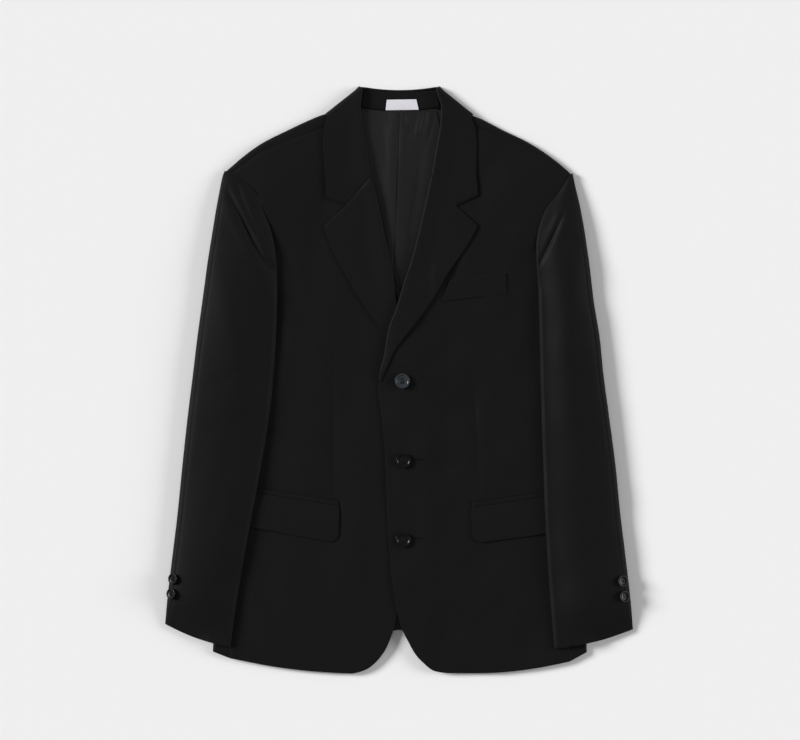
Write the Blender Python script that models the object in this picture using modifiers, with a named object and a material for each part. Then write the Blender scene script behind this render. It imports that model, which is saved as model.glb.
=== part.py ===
"""A single breasted blazer of black worsted, laid on its back with its front buttoned.

Sizes are in millimetres until a point becomes a vertex. +X is the wearer's left, +Y runs up to
the collar and +Z rises from the surface that the blazer lies on.
Each piece of cloth is a grid of points through the middle of the cloth, given its thickness.
"""

import math

import bpy
import numpy as np

MM = 0.001
CLOTH = 2.0          # worsted with its interlining and lining
TRIM = 1.2           # jets and welt
SATIN = 1.0          # lining and label
GAP = 0.3            # between pieces at a seam
SEAM = 0.6           # the same along a curved seam
FLOOR = CLOTH / 2    # middle of cloth that lies on the floor
MIDDLE = np.array((0.08, 0.29, 0.0))  # of the tables below, brought to the origin
STAND_LEVEL = 3.6    # middle of the collar stand and of the back where they lie on the fall
BORDER = 6.0         # middle of the fronts at their borders
LOFT = 2.5           # how much higher the fronts are over the chest
PAD = 5.0            # and over the shoulder pads
LAP = 2.5            # rise of the front that laps over the other
BREAK = 2.7          # and its further rise over the lapel beneath
TURNED = 2.6         # a turned lapel above its front
FLAP = 2.3           # a pocket flap above its front
SLEEVE = 2.9         # the underside of a sleeve above the body
PANEL = 24.0         # how far a side panel comes round to the front
PANEL_BACK = 60.0    # and to the back
UNDERARM = 98.0      # y of the underarm
COLLAR_FALL = 345.0  # y of the fall's edge at the centre back
LAP_REACH = 34.0     # x where the front beneath has ended
RIGHT, LEFT = -1, 1  # the wearer's sides

# The body's side edge: x for the wearer's right and left at each y.
SIDE = (
    # y, right, left
    (-380.0, -257.5, 259.8),
    (-200.0, -249.5, 252.0),
    (-60.0, -243.5, 246.5),
    (50.0, -240.5, 244.0),
    (130.0, -240.0, 244.0),
)

# The shoulder from the neck to its point: the edge, and how far in front of it the seam runs.
SHOULDER = {
    RIGHT: (
        # x, y, seam
        (-66.0, 369.0, 17.0),
        (-80.0, 366.5, 17.0),
        (-101.5, 364.0, 17.0),
        (-109.0, 363.8, 17.0),
        (-122.8, 359.0, 17.0),
        (-153.0, 345.7, 15.0),
        (-193.0, 325.0, 12.0),
        (-221.0, 304.0, 11.0),
        (-229.5, 296.5, 9.0),
        (-236.0, 291.5, 6.0),
    ),
    LEFT: (
        (66.0, 368.6, 16.0),
        (80.0, 366.5, 16.0),
        (101.5, 362.6, 15.0),
        (109.0, 361.8, 14.0),
        (140.8, 346.8, 10.0),
        (182.0, 326.4, 7.5),
        (214.0, 304.8, 7.0),
        (230.5, 291.3, 6.0),
        (235.0, 287.2, 4.0),
    ),
}

# The front's armhole where the sleeve hides it, down to the side panel.
ARMHOLE_HIDDEN = {
    RIGHT: ((-169.5, 142.0), (-177.0, 116.0), (-196.0, 103.0)),
    LEFT: ((192.5, 142.0), (197.0, 116.0), (210.0, 103.0)),
}
# The back's armhole: how far it lies inside the body's side edge at each y.
ARMHOLE_BACK = (
    # y, inset
    (98.0, 60.15),
    (112.0, 54.0),
    (130.0, 46.0),
    (160.0, 38.0),
    (200.0, 34.0),
    (240.0, 26.0),
    (268.0, 17.0),
)

# Sleeves from the shoulder point to the cuff, a row for each section across the arm: its outer
# and inner ends, the height of the inner fold's underside above the front, and the radius of
# the outer fold and the loft of the middle.
SLEEVE_SECTIONS = {
    RIGHT: (
        # out_x, out_y, in_x, in_y, lift, radius, loft
        (-241.5, 286.5, -237.2, 284.0, -1.2, 2.2, 0.5),
        (-244.0, 281.0, -215.0, 276.0, -1.4, 3.5, 1.5),
        (-247.5, 263.0, -197.3, 261.5, -1.2, 5.0, 3.0),
        (-252.5, 236.0, -186.5, 233.0, 0.0, 6.0, 5.0),
        (-258.5, 199.0, -176.0, 205.5, 1.4, 6.5, 6.0),
        (-263.5, 168.0, -170.0, 173.0, 2.9, 7.0, 7.5),
        (-270.0, 120.0, -168.0, 132.0, 2.9, 7.0, 8.5),
        (-278.8, 56.0, -169.5, 62.0, 2.9, 7.0, 9.0),
        (-284.3, 10.0, -173.0, 6.0, 2.9, 7.0, 9.0),
        (-291.5, -48.0, -179.5, -52.0, 2.9, 7.0, 8.5),
        (-298.3, -110.0, -189.0, -112.0, 2.9, 7.0, 8.0),
        (-306.4, -190.0, -203.5, -190.0, 2.9, 7.0, 8.0),
        (-313.5, -248.0, -215.0, -252.0, 2.9, 7.0, 8.0),
        (-319.6, -300.0, -225.5, -316.0, 2.9, 7.0, 7.0),
        (-323.0, -335.9, -232.5, -367.6, 2.9, 1.5, 0.0),
    ),
    LEFT: (
        (240.3, 283.0, 236.0, 281.0, -1.2, 2.2, 0.5),
        (243.5, 268.0, 223.5, 265.0, -1.4, 3.5, 1.5),
        (249.6, 242.2, 204.5, 240.0, -1.2, 5.0, 3.0),
        (254.9, 214.0, 194.0, 215.0, 0.0, 6.0, 5.0),
        (259.3, 185.0, 189.5, 190.0, 1.4, 6.5, 6.0),
        (262.9, 160.0, 189.5, 166.0, 2.9, 7.0, 7.5),
        (268.0, 115.0, 192.0, 129.0, 2.9, 7.0, 8.5),
        (277.4, 56.0, 194.0, 56.0, 2.9, 7.0, 9.0),
        (282.0, 10.0, 195.2, 6.0, 2.9, 7.0, 9.0),
        (289.5, -46.0, 196.6, -48.0, 2.9, 7.0, 8.5),
        (298.0, -110.0, 198.7, -110.0, 2.9, 7.0, 8.0),
        (306.4, -192.5, 201.6, -192.5, 2.9, 7.0, 8.0),
        (313.5, -250.0, 205.3, -254.0, 2.9, 7.0, 8.0),
        (319.8, -305.0, 210.0, -318.0, 2.9, 7.0, 7.0),
        (323.2, -343.5, 214.5, -369.9, 2.9, 1.5, 0.0),
    ),
}
# The crease that runs down from a sleeve's head to the front's armhole.
CREASE_DEPTH = 2.6
CREASE_WIDTH = 7.0
SLEEVE_CREASE = {
    RIGHT: ((-231.0, 251.0), (-208.0, 217.0), (-192.0, 177.0), (-172.0, 151.0)),
    LEFT: ((224.0, 221.5), (207.0, 188.0), (195.0, 162.0)),
}
CUFF_BOW = 3.8          # how far a cuff's edge bows out of a straight line
INNER_FOLD = 1.6        # radius of the fold at a sleeve's inner edge
MOUTH = 1.4             # room left between a cuff's two layers
SLEEVE_TURN_IN = 18.0   # how far a top sleeve turns in beneath the arm at its inner edge
HEAD_TURN_IN = 3.0      # above the underarm
SLEEVE_TURN_OUT = 12.0  # and at its outer edge

# Front edges, from the hem round the cutaway and up to the neck.
FRONT_EDGE = {
    RIGHT: ((-64.9, -404.6), (-53.8, -402.3), (-42.8, -397.6), (-31.7, -388.5), (-20.7, -374.7),
            (-9.7, -350.0), (-2.0, -322.0), (8.0, -285.0), (18.0, -240.0), (25.0, -180.0),
            (28.0, -100.0), (28.0, -25.0), (22.0, 5.0), (6.0, 32.0), (-9.0, 56.0),
            (-14.0, 107.0), (-23.5, 162.0), (-34.5, 214.6), (-43.7, 262.9), (-56.0, 321.0),
            (-63.0, 352.5)),
    LEFT: ((78.7, -403.9), (62.0, -403.4), (45.5, -399.5), (34.5, -390.5), (23.5, -378.8),
           (12.4, -359.5), (4.1, -343.0), (-0.8, -327.8), (-5.8, -301.5), (-9.8, -275.3),
           (-13.6, -225.6), (-16.3, -176.0), (-18.4, -116.6), (-21.2, -75.2), (-24.8, -42.0),
           (-28.2, -8.0), (-25.6, 10.0), (-13.0, 34.0), (-4.0, 66.0), (6.0, 98.0),
           (18.5, 133.0), (32.5, 177.0), (43.5, 221.5), (53.0, 263.0), (63.0, 321.0),
           (66.0, 352.5)),
}
FRONT_HEM = {RIGHT: -383.4, LEFT: -388.0}  # y of a front's hem at the side panel
HEM_BOW = {RIGHT: 4.3, LEFT: 5.6}  # and how far it hangs below a straight line from there
CUTAWAY_CROWD = 1.25     # power of the rows' spacing along a front edge
BACK_HEM = (-344.3, -372.5)  # y of the back's hem at the centre and at the side panel
NECK = ((0.0, 371.3), (22.0, 371.6), (38.0, 373.0), (52.0, 374.5))
NECK_WIDTH = 62.0       # x within which the back ends at the neck and turns over nothing

# Lapels from the gorge to the break: the roll line, the outer edge and the roll's radius.
LAPEL_SECTIONS = {
    RIGHT: (
        # roll_x, roll_y, edge_x, edge_y, radius
        (-38.2, 280.8, -102.4, 214.0, 2.0),
        (-31.7, 258.0, -100.6, 203.0, 2.0),
        (-22.5, 214.6, -91.0, 178.7, 2.0),
        (-11.5, 162.2, -69.0, 137.3, 1.9),
        (-1.9, 107.0, -38.6, 89.0, 1.4),
        (0.6, 76.0, -21.0, 64.0, 1.3),
        (1.4, 54.0, -10.5, 51.0, 1.3),
    ),
    LEFT: (
        (44.6, 282.8, 108.1, 214.0, 2.0),
        (39.5, 260.0, 104.4, 205.5, 2.0),
        (30.8, 221.5, 93.8, 186.0, 2.0),
        (19.7, 177.3, 70.0, 152.0, 2.0),
        (5.5, 131.8, 42.5, 106.5, 1.8),
        (-4.1, 100.0, 23.5, 80.5, 1.6),
        (-13.8, 73.8, 5.5, 57.5, 1.5),
        (-18.2, 51.8, -5.5, 43.0, 1.4),
        (-21.4, 32.0, -13.0, 28.0, 1.3),
    ),
}
LAPEL_LEG = (7.0, 2.5)    # cloth beneath the roll, at the gorge and at the break
ROLL_WIDTH = 14.0         # from a roll to where the lapel has come down on its front
GORGE = {RIGHT: (-72.5, 241.2), LEFT: (78.5, 240.3)}   # the lapel's end of the notch
COLLAR_NOTCH = {RIGHT: (-72.5, 242.6), LEFT: (78.5, 241.7)}

# The collar from the gorge up to where it turns over to the back.
COLLAR_SECTIONS = {
    RIGHT: (
        # roll_x, roll_y, edge_x, edge_y, radius
        (-38.9, 282.9, -100.4, 251.4, 2.0),
        (-44.6, 320.9, -102.1, 287.7, 2.0),
        (-50.4, 352.6, -104.7, 325.0, 1.9),
        (-52.7, 380.2, -103.4, 348.5, 1.7),
    ),
    LEFT: (
        (45.2, 284.9, 109.0, 255.8, 2.0),
        (51.0, 320.9, 106.3, 290.6, 2.0),
        (56.6, 352.6, 107.3, 325.0, 1.9),
        (58.0, 380.2, 105.6, 348.5, 1.7),
    ),
}
COLLAR_TURN = {
    RIGHT: ((-53.8, 406.2), (-101.5, 368.6)),
    LEFT: ((54.8, 406.2), (102.8, 367.4)),
}
COLLAR_TOP = 401.2      # y of the fold at the centre back
FOLD_RISE = 3.8         # and how much higher the fold is at its ends
FALL_RADIUS = 1.3       # radius of that fold
COLLAR_LEG = 0.8        # cloth inside the fold, up to the seam of the stand
GORGE_BEND = 0.5        # share of a lapel's or collar's end that lies along the gorge seam
LAPEL_BEND = 0.28       # share of a lapel's length over which that bend dies away
COLLAR_BEND = 0.35      # and of the collar's

# Pocket flaps, jets and welt by their corners, from the end nearest the front edge.
FLAP_OUTLINE = {
    # top corners, bottom corners
    RIGHT: ((-83.0, -173.6), (-218.0, -152.0), (-83.5, -224.5), (-218.0, -200.0)),
    LEFT: ((100.3, -175.6), (221.0, -158.0), (101.5, -225.0), (221.0, -209.0)),
}
FLAP_CORNER = 14.0
JET_OUTLINE = {
    RIGHT: ((-84.0, -166.6), (-218.0, -145.4), (-83.2, -173.0), (-218.0, -151.6)),
    LEFT: ((101.0, -168.4), (221.0, -151.4), (100.6, -175.0), (221.0, -157.6)),
}
WELT_OUTLINE = ((70.0, 138.5), (147.7, 148.5), (60.0, 109.0), (149.0, 119.6))
WELT_RISE = 1.7         # of the lapel over the welt

FRONT_BUTTONS = ((4.6, -0.6), (5.9, -110.7), (5.9, -219.6))
FRONT_BUTTON = (10.3, 3.2)   # radius, thickness
CUFF_BUTTON = (7.5, 2.6)
CUFF_BUTTONS = {RIGHT: (-272.4, -293.2), LEFT: (-276.6, -297.2)}
CUFF_BUTTON_TILT = {RIGHT: 38.0, LEFT: 27.0}
CUFF_BUTTON_PLACE = {RIGHT: 16.0, LEFT: -4.0}  # degrees round the outer fold, from its top
CUFF_BUTTON_CLEAR = 1.7      # of the button's middle above the cloth
LABEL = ((-16.8, 387.6), (24.0, 388.2), (-18.4, 373.0), (27.3, 373.6))
LINING_REACH = ((371.0, 52.0), (350.0, 57.0), (300.0, 60.0), (215.0, 46.0), (107.0, 24.0), (88.0, 20.0))
LINING_AHEAD = 18.0     # the lining starts to rise to the neck this far before the back
PLEAT = ((371.0, 0.6), (319.5, 0.0), (294.6, -2.3), (184.2, -5.9), (88.0, -6.0))


def ease(start, end, value):
    """0 before start, 1 after end and smooth between them."""
    share = min(max((value - start) / (end - start), 0.0), 1.0)
    return share * share * (3.0 - 2.0 * share)


def read_off(table, column, at):
    """A column of a table at a value of its first column, between its rows."""
    rows = sorted(table)
    return float(np.interp(at, [row[0] for row in rows], [row[column] for row in rows]))


def smooth_rows(table, count):
    """count rows, evenly spaced, on a smooth curve through the table's rows."""
    rows = np.array(table, float)
    steps = np.linalg.norm(np.diff(rows, axis=0), axis=1)
    at = np.concatenate([[0.0], np.cumsum(steps)])
    slopes = np.empty_like(rows)
    chords = np.diff(rows, axis=0) / steps[:, None]
    slopes[0], slopes[-1] = chords[0], chords[-1]
    for i in range(1, len(rows) - 1):
        before, after = steps[i - 1], steps[i]
        slopes[i] = (chords[i - 1] * after + chords[i] * before) / (before + after)
    fine = []
    for i, step in enumerate(steps):
        for t in np.linspace(0.0, 1.0, 12, endpoint=False):
            fine.append(
                (1 + 2 * t) * (1 - t) ** 2 * rows[i]
                + t * (1 - t) ** 2 * step * slopes[i]
                + t * t * (3 - 2 * t) * rows[i + 1]
                + t * t * (t - 1) * step * slopes[i + 1]
            )
    fine.append(rows[-1])
    return spaced(np.array(fine), count)


def along(points, shares):
    """Points at these shares of the length of a run of straight lines."""
    points = np.array(points, float)
    lengths = np.linalg.norm(np.diff(points, axis=0), axis=1)
    at = np.concatenate([[0.0], np.cumsum(lengths)])
    return np.stack([np.interp(np.array(shares) * at[-1], at, column) for column in points.T], axis=1)


def spaced(points, count):
    """count points, evenly spaced, along a run of straight lines."""
    return along(points, np.linspace(0.0, 1.0, count))


def fill(bottom, top, inner, outer):
    """A grid of plan points between four edges; bottom and top run from inner to outer."""
    u = np.linspace(0, 1, len(bottom))[None, :, None]
    v = np.linspace(0, 1, len(inner))[:, None, None]
    corners = (
        (1 - u) * (1 - v) * bottom[0]
        + u * (1 - v) * bottom[-1]
        + (1 - u) * v * top[0]
        + u * v * top[-1]
    )
    along = (1 - v) * bottom[None] + v * top[None]
    across = (1 - u) * inner[:, None] + u * outer[:, None]
    return along + across - corners


# Heights of the middle of the cloth.


def side_x(side, y):
    return read_off(SIDE, 1 if side == RIGHT else 2, y)


def shoulder_y(side, x):
    return read_off(SHOULDER[side], 1, x)


def body_level(x, y):
    """The fronts, before one laps over the other."""
    across = 1.0 - min(1.0, abs(x) / 238.0) ** 3
    along = ease(-400.0, -300.0, y)
    over_pad = math.exp(-(((abs(x) - 178.0) / 52.0) ** 2) - ((y - 262.0) / 52.0) ** 2)
    return BORDER + LOFT * across * along + PAD * over_pad


def lap_rise(x, y):
    """How much the wearer's left front rises to lie on the right one."""
    lap = LAP * (1.0 - ease(LAP_REACH, LAP_REACH + 36.0, x)) * (1.0 - ease(110.0, 190.0, y))
    over_lapel = ease(-10.0, 22.0, y) * (1.0 - ease(110.0, 150.0, y))
    return lap + BREAK * over_lapel * (1.0 - ease(12.0, 48.0, x))


def front_level(side, x, y):
    return body_level(x, y) + (lap_rise(x, y) if side == LEFT else 0.0)


def back_level(x, y):
    """The back lies on the floor, and on the collar's fall below the neck."""
    lift = ease(312.0, 336.0, y) * (1.0 - ease(103.0, 130.0, abs(x)))
    return FLOOR + (STAND_LEVEL - FLOOR) * lift


def arm_on_body(x, y):
    """The underside of a sleeve where it lies on a front, and on a pocket flap."""
    over_flap = ease(-245.0, -228.0, y) * (1.0 - ease(-148.0, -128.0, y))
    return body_level(x, y) + SLEEVE + FLAP * over_flap


def sleeve_base(side, x, y):
    """The underside of a sleeve, on the floor and on the body."""
    inside = abs(side_x(side, y)) - abs(x)
    on_body = ease(-16.0, -1.0, inside) * (1.0 - ease(UNDERARM + 20.0, 152.0, y))
    return FLOOR + (arm_on_body(x, y) - FLOOR) * on_body


def to_line(point, line):
    """Distance in plan from a point to a run of straight lines."""
    best = 1e9
    for start, end in zip(line[:-1], line[1:]):
        start, end = np.array(start), np.array(end)
        run = end - start
        share = np.clip(np.dot(np.array(point) - start, run) / np.dot(run, run), 0.0, 1.0)
        best = min(best, float(np.linalg.norm(np.array(point) - start - share * run)))
    return best


# Making pieces.


def finish(name, colour, roughness, sheen=0.0):
    """A plain material of this colour (linear) and roughness."""
    material = bpy.data.materials.get(name) or bpy.data.materials.new(name)
    material.use_nodes = True
    shader = material.node_tree.nodes["Principled BSDF"]
    shader.inputs["Base Color"].default_value = (*colour, 1.0)
    shader.inputs["Roughness"].default_value = roughness
    shader.inputs["Sheen Weight"].default_value = sheen
    return material


def add_object(name, points, faces, material, edges=()):
    mesh = bpy.data.meshes.new(name)
    mesh.from_pydata([tuple(float(c) * MM for c in point) for point in points], edges, faces)
    mesh.update()
    piece = bpy.data.objects.new(name, mesh)
    mesh.materials.append(material)
    mesh.shade_smooth()
    blazer.objects.link(piece)
    return piece


def cloth(name, grid, thickness, material, face_up=True):
    """Cloth through the middle points of a grid, given its thickness."""
    rows, columns = len(grid), len(grid[0])
    points = np.array(grid, float).reshape(-1, 3) - MIDDLE
    faces = []
    for i in range(rows - 1):
        for j in range(columns - 1):
            corner = i * columns + j
            face = (corner, corner + 1, corner + columns + 1, corner + columns)
            faces.append(face if face_up else face[::-1])
    piece = add_object(name, points, faces, material)
    wall = piece.modifiers.new("thickness", "SOLIDIFY")
    wall.thickness = thickness * MM
    wall.offset = 0.0
    return piece


def side_name(side):
    return "left" if side == LEFT else "right"


# Body.


def shoulder_columns(side):
    """x of the columns that the back and the front share along the shoulder seam."""
    table = SHOULDER[side]
    return np.linspace(table[0][0], table[-1][0], 9)


def back_armhole_x(side, y):
    return side_x(side, y) - side * read_off(ARMHOLE_BACK, 1, y)


def make_back(side):
    """Half the back, turned over the shoulder to the seam in front of it."""

    def turn(x):
        """Start of the turn over the shoulder, its radius and its lower level."""
        edge = shoulder_y(side, x)
        high, low = body_level(x, edge - 6.0), back_level(x, edge - 6.0)
        radius = (high - low) / 2
        return edge - CLOTH / 2 - radius, radius, low

    def over(x, y):
        start, radius, low = turn(x)
        beyond = y - start
        if beyond <= 0.0 or abs(x) < NECK_WIDTH:
            return x, y, back_level(x, y)
        angle = beyond / radius
        if angle < math.pi:
            return x, start + radius * math.sin(angle), low + radius * (1 - math.cos(angle))
        back_y = start - (beyond - math.pi * radius)
        return x, back_y, body_level(x, back_y)

    top = [(side * x, y) for x, y in NECK] + [(x, turn(x)[0]) for x in shoulder_columns(side)]
    top[0] = (side * GAP / 2, NECK[0][1])
    top = np.array(top)
    seam = []
    for y in np.linspace(BACK_HEM[1], UNDERARM, 8):
        seam.append((side_x(side, y) - side * (PANEL_BACK + GAP / 2), y))
    armhole = [(back_armhole_x(side, y), y) for y, _ in ARMHOLE_BACK[1:]]
    outer = np.array(seam + armhole + [tuple(top[-1])])
    rows = len(outer)
    low, high = np.array([side * GAP / 2, BACK_HEM[0]]), top[0]
    shares = (outer[:, 1] - outer[0, 1]) / (outer[-1, 1] - outer[0, 1])
    inner = np.array([low + (high - low) * share for share in shares])
    bottom = spaced(np.array([inner[0], outer[0]]), len(top))
    flat = fill(bottom, top, inner, outer)
    grid = []
    for i in range(rows):
        grid.append([over(x, y) for x, y in flat[i]])
    for share in (0.2, 0.4, 0.6, 0.8, 1.0, 2.0):
        row = []
        for x, y in top:
            start, radius, _ = turn(x)
            if abs(x) < NECK_WIDTH:
                row.append((x, y + 0.5 * share, back_level(x, y)))
                continue
            ahead = start - shoulder_y(side, x) + read_off(SHOULDER[side], 2, x) - SEAM / 2
            row.append(over(x, start + math.pi * radius * min(share, 1.0) + ahead * max(share - 1, 0)))
        grid.append(row)
    return cloth(f"back_{side_name(side)}", grid, CLOTH, worsted, face_up=side == LEFT)


def make_side_panel(side):
    """The panel under the arm, folded round the body's side."""
    grid = []
    for share in np.linspace(0.0, 1.0, 12):
        back_y = BACK_HEM[1] + share * (UNDERARM - BACK_HEM[1])
        front_y = FRONT_HEM[side] + share * (UNDERARM - FRONT_HEM[side])
        edge = side_x(side, back_y)
        top = body_level(edge - side * 6.0, front_y)
        radius = (top - FLOOR) / 2
        centre = edge - side * (CLOTH / 2 + radius)
        seam = side_x(side, front_y) - side * (PANEL - GAP / 2)
        turned = math.pi * radius
        way = turned + abs(centre - seam)
        row = []
        start = edge - side * (PANEL_BACK - GAP / 2)
        for part in (0.0, 0.4, 0.8):
            row.append((start + (centre - start) * part, back_y, FLOOR))
        for angle in np.linspace(-90.0, 90.0, 6):
            turn = math.radians(angle)
            gone = turned * (angle + 90.0) / 180.0
            row.append((
                centre + side * radius * math.cos(turn),
                back_y + (front_y - back_y) * gone / way,
                FLOOR + radius + radius * math.sin(turn),
            ))
        for part in (0.5, 1.0):
            x = centre + (seam - centre) * part
            gone = turned + abs(centre - seam) * part
            y = back_y + (front_y - back_y) * gone / way
            row.append((x, y, body_level(x, y)))
        grid.append(row)
    return cloth(f"side_{side_name(side)}", grid, CLOTH, worsted, face_up=side == LEFT)


def front_armhole(side, count):
    """The front's armhole: hidden under the sleeve, then just inside the sleeve's seam."""
    seam = []
    for _, inner, _, lift, _, _ in sleeve_frames(side, 80):
        if lift < SLEEVE - 0.02 and inner[1] > 150.0:
            seam.append(inner)
    seam = np.array(seam[::-1])
    run = np.gradient(seam, axis=0)
    run /= np.linalg.norm(run, axis=1)[:, None]
    inward = np.stack([run[:, 1], -run[:, 0]], axis=1)
    inward *= -side * np.sign(inward[:, :1])
    edge = [tuple(point) for point in seam + inward * SEAM * 2.4]
    tip = shoulder_columns(side)[-1]
    edge = [point for point in edge if abs(point[0]) < abs(tip) - 3.0]
    return spaced(np.array(list(ARMHOLE_HIDDEN[side][::-1]) + edge), count)


def make_front(side):
    """A front from its edge to the side panel, the armhole and the shoulder seam."""
    panel = PANEL + GAP / 2
    seam = [(side_x(side, y) - side * panel, y) for y in np.linspace(FRONT_HEM[side], UNDERARM, 14)]
    columns = shoulder_columns(side)
    top = []
    for x in columns:
        top.append((x, shoulder_y(side, x) - read_off(SHOULDER[side], 2, x) - SEAM / 2 - GAP))
    top = np.array(top)
    outer = np.vstack([np.array(seam), front_armhole(side, 9), top[-1:]])
    # Rows crowd round the cutaway, where the edge curves most.
    shares = np.linspace(0.0, 1.0, len(outer)) ** CUTAWAY_CROWD
    inner = along(smooth_rows(FRONT_EDGE[side] + (tuple(top[0]),), 300), shares)
    bottom = spaced(np.array([inner[0], outer[0]]), len(columns))
    bottom[:, 1] -= HEM_BOW[side] * np.sin(np.linspace(0.0, math.pi, len(columns)))
    grid = []
    for row in fill(bottom, top, inner, outer):
        grid.append([(x, y, front_level(side, x, y)) for x, y in row])
    return cloth(f"front_{side_name(side)}", grid, CLOTH, worsted, face_up=side == LEFT)


def turned_row(side, roll, ends, radius, leg, count, welt=False):
    """A row across a lapel or the collar: a short leg beneath, the roll, and the turned part."""
    roll = np.array(roll)
    first = np.array(ends[0])
    out = (first - roll) / np.linalg.norm(first - roll)
    centre = roll + out * (CLOTH / 2 + radius)
    level = front_level(side, *centre)
    row = []
    for share in (1.0, 0.0):
        at = centre + out * leg * share
        row.append((*at, front_level(side, *at) if share else level))
    for angle in (-45.0, 0.0, 45.0, 90.0):
        turn = math.radians(angle)
        at = centre - out * radius * math.cos(turn)
        row.append((*at, level + radius + radius * math.sin(turn)))
    path = spaced(np.array([centre] + [np.array(end) for end in ends]), count + 1)[1:]
    if len(ends) > 1:
        half = int(round(count * GORGE_BEND))
        path = np.vstack([
            spaced(np.array([centre, ends[0]]), half + 1)[1:],
            spaced(np.array([ends[0], ends[1]]), count - half + 1)[1:],
        ])
    for at in path:
        away = float(np.linalg.norm(at - centre))
        height = TURNED + (2 * radius - TURNED) * math.exp(-((away / ROLL_WIDTH) ** 2))
        if welt:
            height += WELT_RISE * ease(40.0, 52.0, at[0]) * ease(92.0, 106.0, at[1]) * (
                1.0 - ease(150.0, 168.0, at[1]))
        row.append((*at, front_level(side, *at) + height))
    return row


def make_lapel(side):
    """A lapel turned over at its roll line, from the gorge to the break."""
    rows = smooth_rows(LAPEL_SECTIONS[side], 13)
    grid = []
    for i, (roll_x, roll_y, edge_x, edge_y, radius) in enumerate(rows):
        share = i / (len(rows) - 1)
        # The gorge bends the upper rows less and less going down.
        straight = np.array([(roll_x + edge_x) / 2, (roll_y + edge_y) / 2])
        bend = max(0.0, 1.0 - share / LAPEL_BEND)
        middle = straight + bend * bend * (
            np.array(GORGE[side]) - (np.array([rows[0][0] + rows[0][2], rows[0][1] + rows[0][3]]) / 2)
        )
        leg = LAPEL_LEG[0] + (LAPEL_LEG[1] - LAPEL_LEG[0]) * share
        grid.append(turned_row(side, (roll_x, roll_y), (middle, (edge_x, edge_y)), radius, leg, 8,
                               welt=side == LEFT))
    return cloth(f"lapel_{side_name(side)}", grid, CLOTH, worsted, face_up=side == RIGHT)


def make_collar():
    """The fall: over each shoulder from its notch, round to the back, and across beneath it."""

    def front_rows(side):
        rows = []
        sections = smooth_rows(COLLAR_SECTIONS[side], 8)
        for i, (roll_x, roll_y, edge_x, edge_y, radius) in enumerate(sections):
            share = i / (len(sections) - 1)
            straight = np.array([(roll_x + edge_x) / 2, (roll_y + edge_y) / 2])
            bend = max(0.0, 1.0 - share / COLLAR_BEND)
            middle = straight + bend * bend * (
                np.array(COLLAR_NOTCH[side])
                - np.array([sections[0][0] + sections[0][2], sections[0][1] + sections[0][3]]) / 2
            )
            rows.append(turned_row(side, (roll_x, roll_y), (middle, (edge_x, edge_y)), radius,
                                   COLLAR_LEG + 4.0 * (1.0 - share), 7))
        return rows

    def round_rows(side):
        """Rows that turn about the slanting edge from face up to face down."""
        fold, end = (np.array(point) for point in COLLAR_TURN[side])
        along = (end - fold) / np.linalg.norm(end - fold)
        out = np.array([along[1], -along[0]]) * (1 if side == LEFT else -1)
        if out[1] < 0:
            out = -out
        last = front_rows(side)[-1]
        rows = []
        for angle in (18.0, 54.0, 90.0, 126.0, 162.0):
            turn = math.radians(angle)
            shift = math.sin(turn)
            row = []
            radius = 1.7 + (FALL_RADIUS - 1.7) * angle / 180.0
            length = float(np.linalg.norm(end - fold))
            # Offsets along the edge and depths inside the turn, as in turned_row.
            profile = [(CLOTH / 2 + radius + COLLAR_LEG, 2 * radius), (CLOTH / 2 + radius, 2 * radius)]
            for lean in (-45.0, 0.0, 45.0, 90.0):
                bend = math.radians(lean)
                profile.append((CLOTH / 2 + radius - radius * math.cos(bend),
                                radius - radius * math.sin(bend)))
            for part in np.linspace(0.0, 1.0, 8)[1:]:
                profile.append((CLOTH / 2 + radius + (length - CLOTH / 2 - radius) * part, 0.0))
            for j, (offset, depth) in enumerate(profile):
                high = last[min(j, len(last) - 1)][2] if j >= 5 else last[5][2]
                wide = (high - FLOOR) / 2
                middle = fold + along * offset - out * (wide + CLOTH / 2)
                at = middle + out * (wide - depth) * shift
                row.append((*at, (high + FLOOR) / 2 + (wide - depth) * math.cos(turn)))
            rows.append(row)
        return rows

    def back_rows():
        """Rows beneath the back, fold first."""
        rows = []
        for share in np.linspace(0.0, 1.0, 9):
            roll_x = -46.0 + 94.0 * share
            edge_x = -96.0 + 193.0 * share
            rise = (2 * share - 1) ** 2
            roll = np.array([roll_x, COLLAR_TOP - CLOTH / 2 + FOLD_RISE * rise])
            edge = np.array([edge_x, COLLAR_FALL + 14.0 * rise])
            out = (edge - roll) / np.linalg.norm(edge - roll)
            centre = roll + out * FALL_RADIUS
            high = FLOOR + 2 * FALL_RADIUS
            row = [(*(centre + out * COLLAR_LEG), high), (*centre, high)]
            for angle in (45.0, 0.0, -45.0, -90.0):
                turn = math.radians(angle)
                row.append((*(centre - out * FALL_RADIUS * math.cos(turn)),
                            FLOOR + FALL_RADIUS + FALL_RADIUS * math.sin(turn)))
            for part in np.linspace(0.0, 1.0, 8)[1:]:
                row.append((*(centre + (edge - centre) * part), FLOOR))
            rows.append(row)
        return rows

    grid = front_rows(RIGHT) + round_rows(RIGHT) + back_rows()
    grid += round_rows(LEFT)[::-1] + front_rows(LEFT)[::-1]
    return cloth("collar", grid, CLOTH, worsted, face_up=False)


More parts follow.
